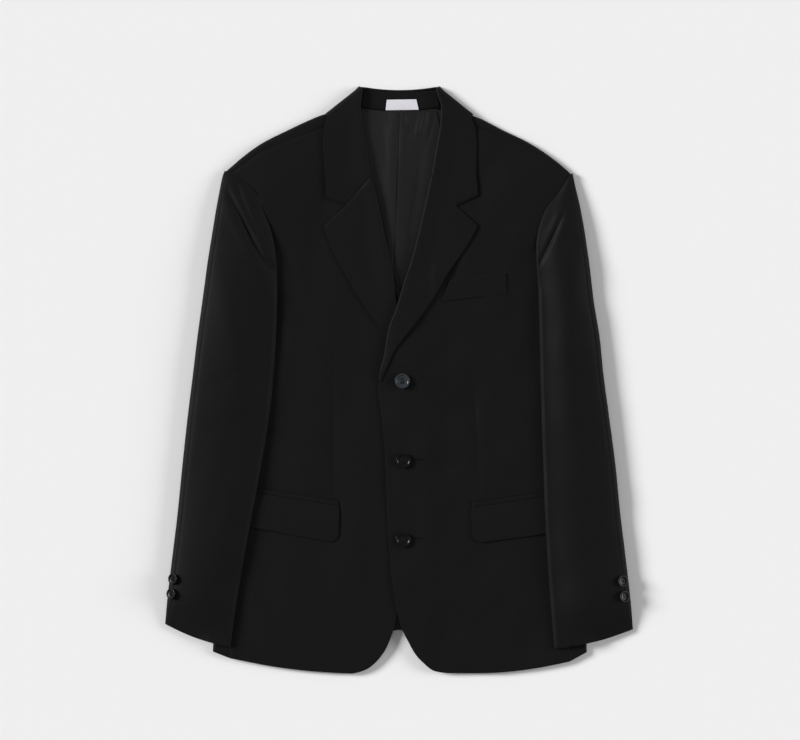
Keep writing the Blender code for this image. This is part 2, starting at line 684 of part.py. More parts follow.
def make_stand():
    """The collar's stand, inside the neck between the fold and the neck seam."""
    grid = []
    upper = COLLAR_TOP - 1.0 - FALL_RADIUS - COLLAR_LEG - SEAM
    for share in (1.0, 0.5, 0.0):
        row = []
        for x in np.linspace(-1.0, 1.0, 9):
            top_x, low_x = 45.0 * x, 49.0 * x
            low_y = float(np.interp(abs(low_x), [p[0] for p in NECK], [p[1] for p in NECK]))
            low_y = low_y + 1.0 + SEAM + 1.0
            at_x = top_x * share + low_x * (1 - share)
            row.append((at_x, upper * share + low_y * (1 - share), STAND_LEVEL))
        grid.append(row)
    return cloth("collar_stand", grid, CLOTH, worsted, face_up=False)


def make_lining(side):
    """Half the back lining that shows in the neck, as far as it reaches under the fronts."""
    grid = []
    for y in np.linspace(369.5, 90.0, 13):
        seam = read_off(PLEAT, 1, y) + side * GAP / 2
        reach = side * read_off(LINING_REACH, 1, y)
        row = []
        for x in np.linspace(seam, reach, 6):
            under = back_level(x, y + LINING_AHEAD)
            row.append((x, y, under + CLOTH / 2 + SATIN / 2 + GAP + 0.1))
        grid.append(row)
    return cloth(f"lining_{side_name(side)}", grid, SATIN, satin, face_up=side == RIGHT)


# Sleeves.


def sleeve_frames(side, count):
    """The sections of a sleeve: its ends, the direction across it and its sizes."""
    for row in smooth_rows(SLEEVE_SECTIONS[side], count):
        outer, inner = row[:2], row[2:4]
        across = (outer - inner) / np.linalg.norm(outer - inner)
        yield outer, inner, across, row[4], row[5], row[6]


def bowed(point, outer, inner):
    """A point across a sleeve, moved along it as the cuff's edge bows."""
    run = inner - outer
    share = float(np.clip(np.dot(point - outer, run) / np.dot(run, run), 0.0, 1.0))
    down = np.array([run[1], -run[0]]) / np.linalg.norm(run)
    down *= -np.sign(down[1])
    near_cuff = 1.0 - ease(-340.0, -270.0, (outer[1] + inner[1]) / 2)
    return point + down * CUFF_BOW * near_cuff * math.sin(math.pi * share)


def inner_height(side, inner, lift):
    """Height of the lower leg at a sleeve's inner edge."""
    return arm_on_body(*inner) - SLEEVE + lift


def turn_in(inner, lift):
    """How far the top sleeve turns in beneath the arm."""
    below_underarm = 1.0 - ease(UNDERARM, UNDERARM + 30.0, inner[1])
    return HEAD_TURN_IN + (SLEEVE_TURN_IN - HEAD_TURN_IN) * below_underarm * ease(1.4, SLEEVE, lift)


def make_top_sleeve(side):
    """The top sleeve, turned in beneath the arm along both its edges."""
    grid = []
    frames = list(sleeve_frames(side, 26))
    for outer, inner, across, lift, radius, loft in frames:
        low = inner_height(side, inner, lift)
        centre = inner + across * (CLOTH / 2 + INNER_FOLD)
        covered = ease(1.4, 2.9, lift)
        leg = turn_in(inner, lift)
        row = []
        for share in (1.0, 0.5):
            at = centre + across * leg * share
            row.append((*bowed(at, outer, inner), low * (1 - covered) + arm_on_body(*at) * covered))
        for angle in (-90.0, -45.0, 0.0, 45.0, 90.0):
            turn = math.radians(angle)
            row.append((*(centre - across * INNER_FOLD * math.cos(turn)),
                        low + INNER_FOLD * (1.0 + math.sin(turn))))
        end = outer - across * (CLOTH / 2 + radius)
        high_in, high_out = low + 2 * INNER_FOLD, FLOOR + 2 * radius
        length = float(np.linalg.norm(end - centre))
        for share in np.linspace(0.0, 1.0, 9)[1:-1]:
            at = centre + across * length * share
            base = sleeve_base(side, *at)
            crown = high_in + (high_out - high_in) * share + loft * math.sin(math.pi * share) ** 0.8
            crease = CREASE_DEPTH * math.exp(-((to_line(at, SLEEVE_CREASE[side]) / CREASE_WIDTH) ** 2))
            crown = crown - crease * ease(0.4, 2.0, loft)
            row.append((*bowed(at, outer, inner), max(crown, base + CLOTH + MOUTH)))
        for angle in (90.0, 54.0, 18.0, -18.0, -54.0, -90.0):
            turn = math.radians(angle)
            row.append((*(end + across * radius * math.cos(turn)),
                        FLOOR + radius + radius * math.sin(turn)))
        turn_out = min(SLEEVE_TURN_OUT, length * 0.4)
        for share in (0.5, 1.0):
            row.append((*bowed(end - across * turn_out * share, outer, inner), FLOOR))
        grid.append(row)
    return cloth(f"top_sleeve_{side_name(side)}", grid, CLOTH, worsted, face_up=side == RIGHT)


def make_under_sleeve(side):
    """The under sleeve, on the floor and over the body's side."""
    grid = []
    for outer, inner, across, lift, radius, loft in sleeve_frames(side, 26):
        if outer[1] > 245.0:
            continue
        length = float(np.linalg.norm(outer - inner))
        turn_out = min(SLEEVE_TURN_OUT, (length - 2 * CLOTH - radius - INNER_FOLD) * 0.4)
        start = outer - across * (CLOTH / 2 + radius + turn_out + SEAM)
        low_end = inner + across * (CLOTH / 2 + INNER_FOLD + turn_in(inner, lift) + SEAM)
        level_y = max(inner[1], UNDERARM + 20.0)
        high_end = np.array([back_armhole_x(side, level_y) + side * SEAM * 3.0, level_y])
        share = ease(UNDERARM + 8.0, UNDERARM + 40.0, inner[1])
        end = low_end * (1 - share) + high_end * share
        if abs(end[0]) < abs(low_end[0]):
            end = low_end
        row = []
        edge = abs(side_x(side, (start[1] + end[1]) / 2))
        span = abs(start[0]) - abs(end[0])
        at_edge = min(max((abs(start[0]) - edge) / span, 0.3), 0.97)
        plain = np.linspace(0.0, 1.0, 8)
        rise = 15.0 / span
        fitted = np.array([
            0.0,
            max(at_edge - rise, 0.1) * 0.5,
            max(at_edge - rise, 0.1),
            max(at_edge - rise * 0.7, 0.14),
            max(at_edge - rise * 0.4, 0.18),
            max(at_edge - rise * 0.1, 0.24),
            (at_edge + 1.0) / 2,
            1.0,
        ])
        parts = fitted * (1 - share) + plain * share
        for part in parts:
            at = start + (end - start) * part
            row.append((*bowed(at, outer, inner), sleeve_base(side, *at)))
        grid.append(row)
    return cloth(f"under_sleeve_{side_name(side)}", grid, CLOTH, worsted, face_up=side == LEFT)


# Pockets, buttons and label.


def make_strip(name, side, outline, thickness, rise, corner=0.0, shape=(9, 3)):
    """A strip on a front, given by its corners; its lower corner may be rounded."""
    top_in, top_out, low_in, low_out = (np.array(point) for point in outline)
    columns, rows = shape
    grid = []
    for v in np.linspace(0.0, 1.0, rows):
        row = []
        for u in np.linspace(0.0, 1.0, columns) ** (1.6 if corner else 1.0):
            top = top_in + (top_out - top_in) * u
            low = low_in + (low_out - low_in) * u
            if corner:
                width = abs(low_out[0] - low_in[0])
                near = max(0.0, 1.0 - u * width / corner)
                low = low + (top - low) * corner * (1 - math.sqrt(1 - near * near)) / abs(
                    top[1] - low[1])
            at = top + (low - top) * v
            row.append((*at, front_level(side, *at) + rise))
        grid.append(row)
    return cloth(name, grid, thickness, worsted, face_up=side == RIGHT)


def make_button(name, size, centre, lean, turn_about):
    """A round button with a raised rim and a dished face, turned from a profile."""
    radius, thick = size
    profile = (
        # distance from the middle, height
        (0.0, thick * 0.62),
        (radius * 0.55, thick * 0.62),
        (radius * 0.70, thick * 0.78),
        (radius * 0.80, thick),
        (radius * 0.92, thick),
        (radius, thick * 0.72),
        (radius, thick * 0.28),
        (radius * 0.88, 0.0),
        (0.0, 0.0),
    )
    edges = [(i, i + 1) for i in range(len(profile) - 1)]
    piece = add_object(name, [(out, 0.0, height) for out, height in profile], [], resin, edges)
    piece.location = [value * MM for value in np.array(centre) - MIDDLE]
    piece.rotation_euler = (0.0, math.radians(lean), turn_about)
    turned = piece.modifiers.new("turned", "SCREW")
    turned.steps = turned.render_steps = 20
    turned.use_merge_vertices = True
    turned.merge_threshold = 0.00001
    return piece


def make_front_buttons():
    for i, (x, y) in enumerate(FRONT_BUTTONS):
        top = max(front_level(LEFT, x + dx, y + dy) for dx in (-10, 0, 10) for dy in (-10, 0, 10))
        make_button(f"front_button_{i + 1}", FRONT_BUTTON, (x, y, top + CLOTH / 2 + GAP + 0.2), 0.0, 0.0)


def make_cuff_buttons(side):
    """Two buttons beside the outer edge of a cuff, facing out from the arm."""
    frames = list(sleeve_frames(side, 200))
    place = math.radians(CUFF_BUTTON_PLACE[side])
    for i, y in enumerate(CUFF_BUTTONS[side]):
        outer, _, across, _, radius, _ = min(frames, key=lambda frame: abs(frame[0][1] - y))
        heading = math.atan2(across[1], across[0])
        end = outer - across * (CLOTH / 2 + radius)
        reach = radius + CLOTH / 2 + CUFF_BUTTON_CLEAR
        at = end + across * reach * math.sin(place)
        height = FLOOR + radius + reach * math.cos(place)
        make_button(f"cuff_button_{side_name(side)}_{i + 1}", CUFF_BUTTON, (*at, height),
                    CUFF_BUTTON_TILT[side], heading)


def make_label():
    top_in, top_out, low_in, low_out = (np.array(point) for point in LABEL)
    grid = []
    for v in np.linspace(0.0, 1.0, 3):
        row = []
        for u in np.linspace(0.0, 1.0, 6):
            at = (top_in + (top_out - top_in) * u) * (1 - v) + (low_in + (low_out - low_in) * u) * v
            row.append((*at, STAND_LEVEL + CLOTH / 2 + SATIN / 2 + GAP))
        grid.append(row)
    return cloth("label", grid, SATIN, woven_label, face_up=False)


for old in list(bpy.data.objects):
    bpy.data.objects.remove(old, do_unlink=True)

blazer = bpy.data.collections.new("single_breasted_blazer")
bpy.context.scene.collection.children.link(blazer)

worsted = finish("black_worsted", (0.008, 0.008, 0.009), 0.85, sheen=0.3)
satin = finish("charcoal_lining", (0.022, 0.022, 0.024), 0.45)
woven_label = finish("white_woven_label", (0.62, 0.61, 0.65), 0.6)
resin = finish("black_resin", (0.012, 0.013, 0.015), 0.3)

for wearer_side in (RIGHT, LEFT):
    make_back(wearer_side)
    make_side_panel(wearer_side)
    make_front(wearer_side)
    make_lapel(wearer_side)
    make_lining(wearer_side)
    make_top_sleeve(wearer_side)
    make_under_sleeve(wearer_side)
    word = side_name(wearer_side)
    make_strip(f"pocket_flap_{word}", wearer_side, FLAP_OUTLINE[wearer_side], CLOTH, FLAP,
               corner=FLAP_CORNER)
    make_strip(f"pocket_jet_{word}", wearer_side, JET_OUTLINE[wearer_side], TRIM,
               CLOTH / 2 + GAP + TRIM / 2, shape=(8, 2))
    make_cuff_buttons(wearer_side)
make_strip("breast_welt", LEFT, WELT_OUTLINE, TRIM, CLOTH / 2 + 2 * GAP + TRIM / 2, shape=(6, 3))
make_collar()
make_stand()
make_label()
make_front_buttons()
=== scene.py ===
"""The looks of a single breasted blazer of black worsted, laid on its back with its front buttoned.

Sizes are in millimetres until a point becomes a vertex. +X is the wearer's left, +Y runs up to
the collar and +Z rises from the surface that the blazer lies on.
Each piece of cloth is a fine grid of points through the middle of the cloth. It follows the
tables of its solid, takes its creases from a table of its own, and is then given its thickness.
"""

import math

import bmesh
import bpy
import numpy as np

from mathutils import Matrix, Vector


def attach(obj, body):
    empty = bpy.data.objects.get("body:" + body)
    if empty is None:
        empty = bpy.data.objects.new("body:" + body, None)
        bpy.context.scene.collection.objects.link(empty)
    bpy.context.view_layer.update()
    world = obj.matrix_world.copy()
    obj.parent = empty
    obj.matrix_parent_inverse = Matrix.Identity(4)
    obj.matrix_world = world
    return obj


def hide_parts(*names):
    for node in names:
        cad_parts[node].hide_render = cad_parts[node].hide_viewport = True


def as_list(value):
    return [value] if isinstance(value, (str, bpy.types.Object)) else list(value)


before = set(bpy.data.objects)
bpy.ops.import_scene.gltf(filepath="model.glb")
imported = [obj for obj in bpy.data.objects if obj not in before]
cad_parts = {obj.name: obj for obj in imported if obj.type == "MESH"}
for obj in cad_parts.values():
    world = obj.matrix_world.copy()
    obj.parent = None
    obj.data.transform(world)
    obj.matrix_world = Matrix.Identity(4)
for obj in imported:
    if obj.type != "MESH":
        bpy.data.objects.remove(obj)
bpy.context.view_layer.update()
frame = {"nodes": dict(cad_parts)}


def ease(start, end, value):
    """0 before start, 1 after end and smooth between them."""
    share = np.clip((value - start) / (end - start), 0.0, 1.0)
    return share * share * (3.0 - 2.0 * share)


def smooth_rows(table, count):
    """count rows, evenly spaced, on a smooth curve through the table's rows."""
    rows = np.array(table, float)
    steps = np.linalg.norm(np.diff(rows, axis=0), axis=1)
    slopes = np.empty_like(rows)
    chords = np.diff(rows, axis=0) / steps[:, None]
    slopes[0], slopes[-1] = chords[0], chords[-1]
    for i in range(1, len(rows) - 1):
        before, after = steps[i - 1], steps[i]
        slopes[i] = (chords[i - 1] * after + chords[i] * before) / (before + after)
    fine = []
    for i, step in enumerate(steps):
        for t in np.linspace(0.0, 1.0, 24, endpoint=False):
            fine.append(
                (1 + 2 * t) * (1 - t) ** 2 * rows[i]
                + t * (1 - t) ** 2 * step * slopes[i]
                + t * t * (3 - 2 * t) * rows[i + 1]
                + t * t * (t - 1) * step * slopes[i + 1]
            )
    fine.append(rows[-1])
    return along(fine, shares(count))


def along(points, places):
    """Points at these shares of the length of a run of straight lines."""
    points = np.array(points, float)
    lengths = np.linalg.norm(np.diff(points, axis=0), axis=1)
    at = np.concatenate([[0.0], np.cumsum(lengths)])
    wanted = np.array(places) * at[-1]
    return np.stack([np.interp(wanted, at, column) for column in points.T], axis=1)


def spaced(points, count):
    """count points, evenly spaced, along a run of straight lines."""
    return along(points, shares(count))


def read_off(table, column, at):
    """A column of a table at a value of its first column, between its rows."""
    rows = sorted(tuple(row) for row in table)
    return np.interp(at, [row[0] for row in rows], [row[column] for row in rows])


def shares(count):
    """count evenly spaced shares, from 0 to 1."""
    return np.linspace(0.0, 1.0, count)


def arc(first, last, count):
    """The cosine and sine of each of count angles, in degrees."""
    turns = [math.radians(angle) for angle in np.linspace(first, last, count)]
    return [(math.cos(turn), math.sin(turn)) for turn in turns]


def fill(bottom, top, inner, outer):
    """A grid of plan points between four edges; bottom and top run from inner to outer."""
    u = shares(len(bottom))[None, :, None]
    v = shares(len(inner))[:, None, None]
    corners = (
        (1 - u) * (1 - v) * bottom[0]
        + u * (1 - v) * bottom[-1]
        + (1 - u) * v * top[0]
        + u * v * top[-1]
    )
    lengthwise = (1 - v) * bottom[None] + v * top[None]
    across = (1 - u) * inner[:, None] + u * outer[:, None]
    return lengthwise + across - corners


def to_line(points, line):
    """Distance in plan from each point to a run of straight lines, and how far along it that is."""
    best = np.full(points.shape[:-1], 1e9)
    place = np.zeros(points.shape[:-1])
    line = np.array(line, float)
    lengths = np.linalg.norm(np.diff(line, axis=0), axis=1)
    gone = 0.0
    for start, run, length in zip(line[:-1], np.diff(line, axis=0), lengths):
        share = np.clip(((points - start) @ run) / length ** 2, 0.0, 1.0)
        away = np.linalg.norm(points - start - share[..., None] * run, axis=-1)
        nearer = away < best
        best = np.where(nearer, away, best)
        place = np.where(nearer, (gone + share * length) / lengths.sum(), place)
        gone += length
    return best, place


MM = 0.001
CLOTH = 2.0  # worsted with its interlining and lining
TRIM = 1.2  # jets and welt
SATIN = 1.0  # lining and label
GAP = 0.3  # between pieces at a seam
SEAM = 0.6  # the same along a curved seam
FLOOR = CLOTH / 2  # middle of cloth that lies on the floor
MIDDLE = np.array((0.08, 0.29, 0.0))  # of the tables below, brought to the origin
STAND_LEVEL = 3.6  # middle of the collar stand and of the back where they lie on the fall
BORDER = 6.0  # middle of the fronts at their borders
LOFT = 2.5  # how much higher the fronts are over the chest
PAD = 5.0  # and over the shoulder pads
LAP = 2.5  # rise of the front that laps over the other
BREAK = 2.7  # and its further rise over the lapel beneath
TURNED = 2.6  # a turned lapel above its front
FLAP = 2.3  # a pocket flap above its front
SLEEVE = 2.9  # the underside of a sleeve above the body
PANEL = 24.0  # how far a side panel comes round to the front
PANEL_BACK = 60.0  # and to the back
UNDERARM = 98.0  # y of the underarm
COLLAR_FALL = 345.0  # y of the fall's edge at the centre back
LAP_REACH = 34.0  # x where the front beneath has ended
RIGHT, LEFT = -1, 1  # the wearer's sides
SIDE_NAME = {RIGHT: "right", LEFT: "left"}

# The body's side edge: x for the wearer's right and left at each y.
SIDE = (
    # y, right, left
    (-380, -257.5, 259.8),
    (-200, -249.5, 252),
    (-60, -243.5, 246.5),
    (50, -240.5, 244),
    (130, -240, 244),
)

# The shoulder from the neck to its point: the edge, and how far in front of it the seam runs.
SHOULDER = {
    RIGHT: (
        # x, y, seam
        (-66, 369, 17),
        (-80, 367.5, 17),
        (-101.5, 367.9, 17),
        (-109, 365.5, 17),
        (-122.8, 359.8, 17),
        (-153, 345.7, 15),
        (-193, 325, 12),
        (-221, 304, 11),
        (-229.5, 296.5, 9),
        (-238.6, 289.2, 4.2),
    ),
    LEFT: (
        (66, 368.6, 16),
        (80, 366.5, 16),
        (101.5, 365.6, 15),
        (109, 362.8, 14),
        (140.8, 346.8, 10),
        (182, 326.4, 7.5),
        (214, 304.8, 7),
        (230.5, 291.3, 6),
        (237.4, 284.9, 3),
    ),
}

# The front's armhole where the sleeve hides it, down to the side panel.
ARMHOLE_HIDDEN = {
    RIGHT: ((-181.5, 168), (-181.5, 142), (-184, 116), (-196, 103)),
    LEFT: ((200.5, 162), (201.5, 142), (203, 116), (210, 103)),
}
# The back's armhole: how far it lies inside the body's side edge at each y.
ARMHOLE_BACK = (
    # y, inset
    (98, 60.15),
    (112, 54),
    (130, 46),
    (160, 38),
    (200, 34),
    (240, 26),
    (268, 17),
)

# Sleeves from the shoulder point to the cuff, a row for each section across the arm: its outer
# and inner ends, the height of the inner fold's underside above the front, and the radius of
# the outer fold and the loft of the middle.
SLEEVE_SECTIONS = {
    RIGHT: (
        # out_x, out_y, in_x, in_y, lift, radius, loft
        (-240.9, 289, -236.8, 287, -1.2, 2, 0.2),
        (-243.8, 281.5, -216.5, 276.8, -1.4, 3.5, 1.3),
        (-247.5, 263, -197.3, 261.5, -1.2, 5, 3),
        (-252.5, 236, -186.5, 233, 0, 6, 5),
        (-258.5, 199, -176, 205.5, 1.4, 6.5, 6),
        (-263.5, 168, -170, 173, 2.9, 7, 7.5),
        (-270, 120, -168, 132, 2.9, 7, 8.5),
        (-278.8, 56, -169.5, 62, 2.9, 7, 9),
        (-284.3, 10, -173, 6, 2.9, 7, 9),
        (-291.5, -48, -179.5, -52, 2.9, 7, 8.5),
        (-298.3, -110, -189, -112, 2.9, 7, 8),
        (-306.4, -190, -203.5, -190, 2.9, 7, 8),
        (-313.5, -248, -215, -252, 2.9, 7, 8),
        (-319.6, -300, -225.5, -316, 2.9, 7, 7),
        (-323, -335.9, -232.5, -367.6, 2.9, 1.5, 0),
    ),
    LEFT: (
        (239.8, 285.6, 235.6, 283.8, -1.2, 2, 0.2),
        (243.5, 268, 223.5, 265, -1.4, 3.5, 1.5),
        (249.6, 242.2, 204.5, 240, -1.2, 5, 3),
        (254.9, 214, 194, 215, 0, 6, 5),
        (259.3, 185, 189.5, 190, 1.4, 6.5, 6),
        (262.9, 160, 189.5, 166, 2.9, 7, 7.5),
        (268, 115, 192, 129, 2.9, 7, 8.5),
        (277.4, 56, 194, 56, 2.9, 7, 9),
        (282, 10, 195.2, 6, 2.9, 7, 9),
        (289.5, -46, 196.6, -48, 2.9, 7, 8.5),
        (298, -110, 198.7, -110, 2.9, 7, 8),
        (306.4, -192.5, 201.6, -192.5, 2.9, 7, 8),
        (313.5, -250, 205.3, -254, 2.9, 7, 8),
        (319.8, -305, 210, -318, 2.9, 7, 7),
        (323.2, -343.5, 214.5, -369.9, 2.9, 1.5, 0),
    ),
}
CUFF_BOW = 3.8  # how far a cuff's edge bows out of a straight line
INNER_FOLD = 1.6  # radius of the fold at a sleeve's inner edge
MOUTH = 1.4  # room left between a cuff's two layers
SLEEVE_TURN_IN = 18.0  # how far a top sleeve turns in beneath the arm at its inner edge
HEAD_TURN_IN = 3.0  # above the underarm
SLEEVE_TURN_OUT = 12.0  # and at its outer edge

# Front edges, from the hem round the cutaway and up to the neck.
FRONT_EDGE = {
    RIGHT: ((-64.9, -404.6), (-53.8, -402.3), (-42.8, -397.6), (-31.7, -388.5), (-20.7, -374.7),
            (-9.7, -350), (-2, -322), (8, -285), (18, -240), (25, -180),
            (28, -100), (28, -25), (22, 5), (6, 32), (-9, 56),
            (-14, 107), (-23.5, 162), (-34.5, 214.6), (-43.7, 262.9), (-56, 321),
            (-63, 352.5)),
    LEFT: ((78.7, -403.9), (62, -403.4), (45.5, -399.5), (34.5, -390.5), (23.5, -378.8),
           (12.4, -359.5), (4.1, -343), (-0.8, -327.8), (-5.8, -301.5), (-9.8, -275.3),
           (-13.6, -225.6), (-16.3, -176), (-18.4, -116.6), (-21.2, -75.2), (-24.8, -42),
           (-28.4, -8), (-22.6, 10), (-13, 34), (-4, 66), (6, 98),
           (18.5, 133), (32.5, 177), (43.5, 221.5), (53, 263), (63, 321),
           (66, 352.5)),
}
FRONT_HEM = {RIGHT: -383.4, LEFT: -388.0}  # y of a front's hem at the side panel
HEM_BOW = {RIGHT: 4.3, LEFT: 5.6}  # and how far it hangs below a straight line from there
CUTAWAY_CROWD = 1.25  # power of the rows' spacing along a front edge
BACK_HEM = (-344.3, -372.5)  # y of the back's hem at the centre and at the side panel
NECK = ((0, 371.3), (22, 371.6), (38, 373), (52, 374.5))
NECK_WIDTH = 62.0  # x within which the back ends at the neck and turns over nothing

# Lapels from the gorge to the break: the roll line, the outer edge and the roll's radius.
LAPEL_SECTIONS = {
    RIGHT: (
        # roll_x, roll_y, edge_x, edge_y, radius
        (-38.4, 281.8, -102.4, 214, 2),
        (-31.7, 258, -100.6, 203, 2),
        (-22.5, 214.6, -91, 178.7, 2),
        (-11.5, 162.2, -69, 137.3, 1.9),
        (-1.9, 107, -38.6, 89, 1.4),
        (0.6, 76, -21, 64, 1.3),
        (1.4, 54, -10.5, 51, 1.3),
    ),
    LEFT: (
        (44.8, 283.7, 108.1, 214, 2),
        (39.5, 260, 104.4, 205.5, 2),
        (30.8, 221.5, 93.8, 186, 2),
        (19.7, 177.3, 70, 152, 2),
        (5.5, 131.8, 42.5, 106.5, 1.8),
        (-4.1, 100, 23.5, 80.5, 1.6),
        (-13.8, 73.8, 5.5, 57.5, 1.5),
        (-18.2, 51.8, -5.5, 43, 1.4),
        (-21.4, 32, -12.6, 27.6, 1.3),
        (-24.9, 19.5, -18, 15.6, 1.1),
        (-27, 9, -22.2, 5.8, 0.7),
        (-28.2, 0, -25.2, -2.2, 0.3),
    ),
}
LAPEL_LEG = (7.0, 2.5)  # cloth beneath the roll, at the gorge and at the break
ROLL_WIDTH = 14.0  # from a roll to where the lapel has come down on its front
GORGE = {RIGHT: (-72.5, 241.6), LEFT: (78.5, 240.8)}  # the lapel's end of the notch
COLLAR_NOTCH = {RIGHT: (-72.5, 242), LEFT: (78.5, 241.2)}

# The collar from the gorge up to where it turns over to the back.
COLLAR_SECTIONS = {
    RIGHT: (
        # roll_x, roll_y, edge_x, edge_y, radius
        (-38.7, 282.3, -100.4, 251.4, 2),
        (-44.6, 320.9, -102.1, 287.7, 2),
        (-50.4, 352.6, -104.7, 325, 1.9),
        (-52.7, 380.2, -103.4, 348.5, 1.7),
    ),
    LEFT: (
        (45, 284.2, 109, 255.8, 2),
        (51, 320.9, 106.3, 290.6, 2),
        (56.6, 352.6, 107.3, 325, 1.9),
        (58, 380.2, 105.6, 348.5, 1.7),
    ),
}
COLLAR_TURN = {
    RIGHT: ((-53.8, 406.2), (-101.5, 368.6)),
    LEFT: ((54.8, 406.2), (102.8, 367.4)),
}
COLLAR_TOP = 401.2  # y of the fold at the centre back
FOLD_RISE = 3.8  # and how much higher the fold is at its ends
FALL_RADIUS = 1.3  # radius of that fold
STAND_ENDS = {RIGHT: (-50, -52.4), LEFT: (53, 56.4)}  # x at the fold and at the neck seam
COLLAR_LEG = 0.8  # cloth inside the fold, up to the seam of the stand
GORGE_BEND = 0.5  # share of a lapel's or collar's end that lies along the gorge seam
LAPEL_BEND = 0.28  # share of a lapel's length over which that bend dies away
COLLAR_BEND = 0.35  # and of the collar's

# Pocket flaps, jets and welt by their corners, from the end nearest the front edge.
FLAP_OUTLINE = {
    # top corners, bottom corners
    RIGHT: ((-83, -173.6), (-218, -152), (-83.5, -224.5), (-218, -200)),
    LEFT: ((100.3, -175.6), (221, -158), (101.5, -225), (221, -209)),
}
FLAP_CORNER = 14.0
JET_OUTLINE = {
    RIGHT: ((-84, -166.6), (-218, -145.4), (-83.2, -173), (-218, -151.6)),
    LEFT: ((101, -168.4), (221, -151.4), (100.6, -175), (221, -157.6)),
}
WELT_OUTLINE = ((70, 138.5), (147.7, 148.5), (60, 109), (149, 119.6))
WELT_RISE = 1.7  # of the lapel over the welt

FRONT_BUTTONS = ((4.6, -0.6), (5.9, -110.7), (5.9, -219.6))
FRONT_BUTTON = (10.3, 3.2)  # radius, thickness
CUFF_BUTTON = (7.5, 2.6)
CUFF_BUTTONS = {RIGHT: (-272.4, -293.2), LEFT: (-276.6, -297.2)}
CUFF_BUTTON_TILT = {RIGHT: 38.0, LEFT: 27.0}  # degrees, outwards
CUFF_BUTTON_PLACE = {RIGHT: 16.0, LEFT: -4.0}  # degrees round the outer fold, from its top
CUFF_BUTTON_CLEAR = 1.7  # of the button's middle above the cloth
LABEL = ((-16.8, 387.6), (24, 388.2), (-18.4, 373), (27.3, 373.6))
LINING_REACH = ((371, 52), (350, 57), (300, 60), (215, 46), (107, 24), (88, 20))
LINING_RISE = (216.0, 320.0)  # y over which the lining rises to the neck
LINING_RIDGE = (3.3, 20.0)  # height and width of the ridge that its centre pleat makes
PLEAT = ((371, 0.6), (319.5, 0), (294.6, -2.3), (184.2, -5.9), (88, -6))

# What the fine grids add to the solids' tables.
BUTTED = 0.12  # between pieces at a sewn seam
LEG_POINTS = 4  # points across the cloth beneath a roll
ROLL_POINTS = 9  # round the roll
FALL_POINTS = 34  # and across the collar's fall
FRONT_COLUMNS = 116
STRIP_CROWN = 0.35  # how far a flap or welt stands up in its middle
JET = 0.9  # a jet above its front, in the mouth's trough
WELT = 1.5  # and the welt above its front
ROLL_PRESS = 0.55  # below 1, the roll of a lapel or the collar is pressed squarer
OUTER_BULGE = 0.8  # the higher, the flatter a sleeve starts to rise from its outer edge
INNER_BULGE = {RIGHT: 0.8, LEFT: 1.35}  # and from its inner edge
SLEEVE_CLEARS = 2.05  # rise of a sleeve's inner fold from which the front runs on beneath it
# The lining seam's stitches are black twist that also paints the shade of the seam's groove.
SEAM_STITCH = 0.3  # radius of the lining seam's stitches
STITCH_RISE = 0.35  # and their height above the middle of the lining
# The jets' seam lines are dark twist that stands in for the shade in the ditch beside each jet:
# painted shade.
JET_SEAM_SHADE_LINE = (0.42, 1.1)  # radius of the seam along a jet's edges, and its height on the front
MOUTH_TROUGH = (1.5, 3.6)  # depth and width of the trough that a jet lies in
HEAD_SETTLE = 1.9  # how far the sleeve's head settles into the armhole's seam
SIDE_LINE = smooth_rows(SIDE, 120)
SHOULDER_LINE = {side: smooth_rows(SHOULDER[side], 160) for side in (RIGHT, LEFT)}

# Seams of the fronts' waist darts.
DART = {
    RIGHT: ((-90.5, 39), (-90.8, -60), (-90.2, -154)),
    LEFT: ((100.7, 27), (106.5, -60), (111.2, -155)),
}

# Creases as (line in plan, height, width): a trough's height is negative.
FRONT_CREASES = {
    RIGHT: (
        (((-168, 190), (-150, 150), (-142, 96)), -1.1, 12),
        (((-186, 150), (-176, 98), (-172, 30)), -1.8, 16),
        (((-120, 60), (-84, -10), (-20, -28)), 1, 16),
        (((-90.5, 20), (-90.8, -60), (-90.2, -140)), -1.2, 8),
        (((-210, -60), (-150, -96), (-60, -104)), -1, 17),
        (((-40, -120), (-60, -220), (-64, -330)), 1, 22),
        (((-190, -250), (-170, -310), (-160, -380)), -1.2, 18),
        (((-78, 340), (-104, 240), (-124, 150)), -1, 14),
    ),
    LEFT: (
        (((190, 205), (172, 160), (160, 100)), -0.9, 13),
        (((196, 150), (190, 90), (190, 20)), -1.3, 16),
        (((6, -8), (52, 4), (112, 44)), 1, 15),
        (((2, -14), (60, -44), (130, -52)), -1, 14),
        (((104, 10), (106.5, -60), (111, -140)), -1.2, 8),
        (((30, -120), (60, -210), (66, -330)), 1, 22),
        (((200, -250), (186, -310), (180, -380)), -1.2, 18),
        (((-4, -112), (40, -122), (92, -118)), -0.7, 12),
    ),
}
LAPEL_CREASES = {
    RIGHT: ((((-40, 262), (-50, 190), (-24, 110)), -0.6, 12),),
    LEFT: ((((48, 262), (54, 200), (22, 110)), -0.6, 12),),
}
COLLAR_CREASES = (
    (((-60, 370), (-72, 320), (-70, 270)), -0.6, 12),
    (((64, 370), (76, 320), (74, 270)), -0.6, 12),
)
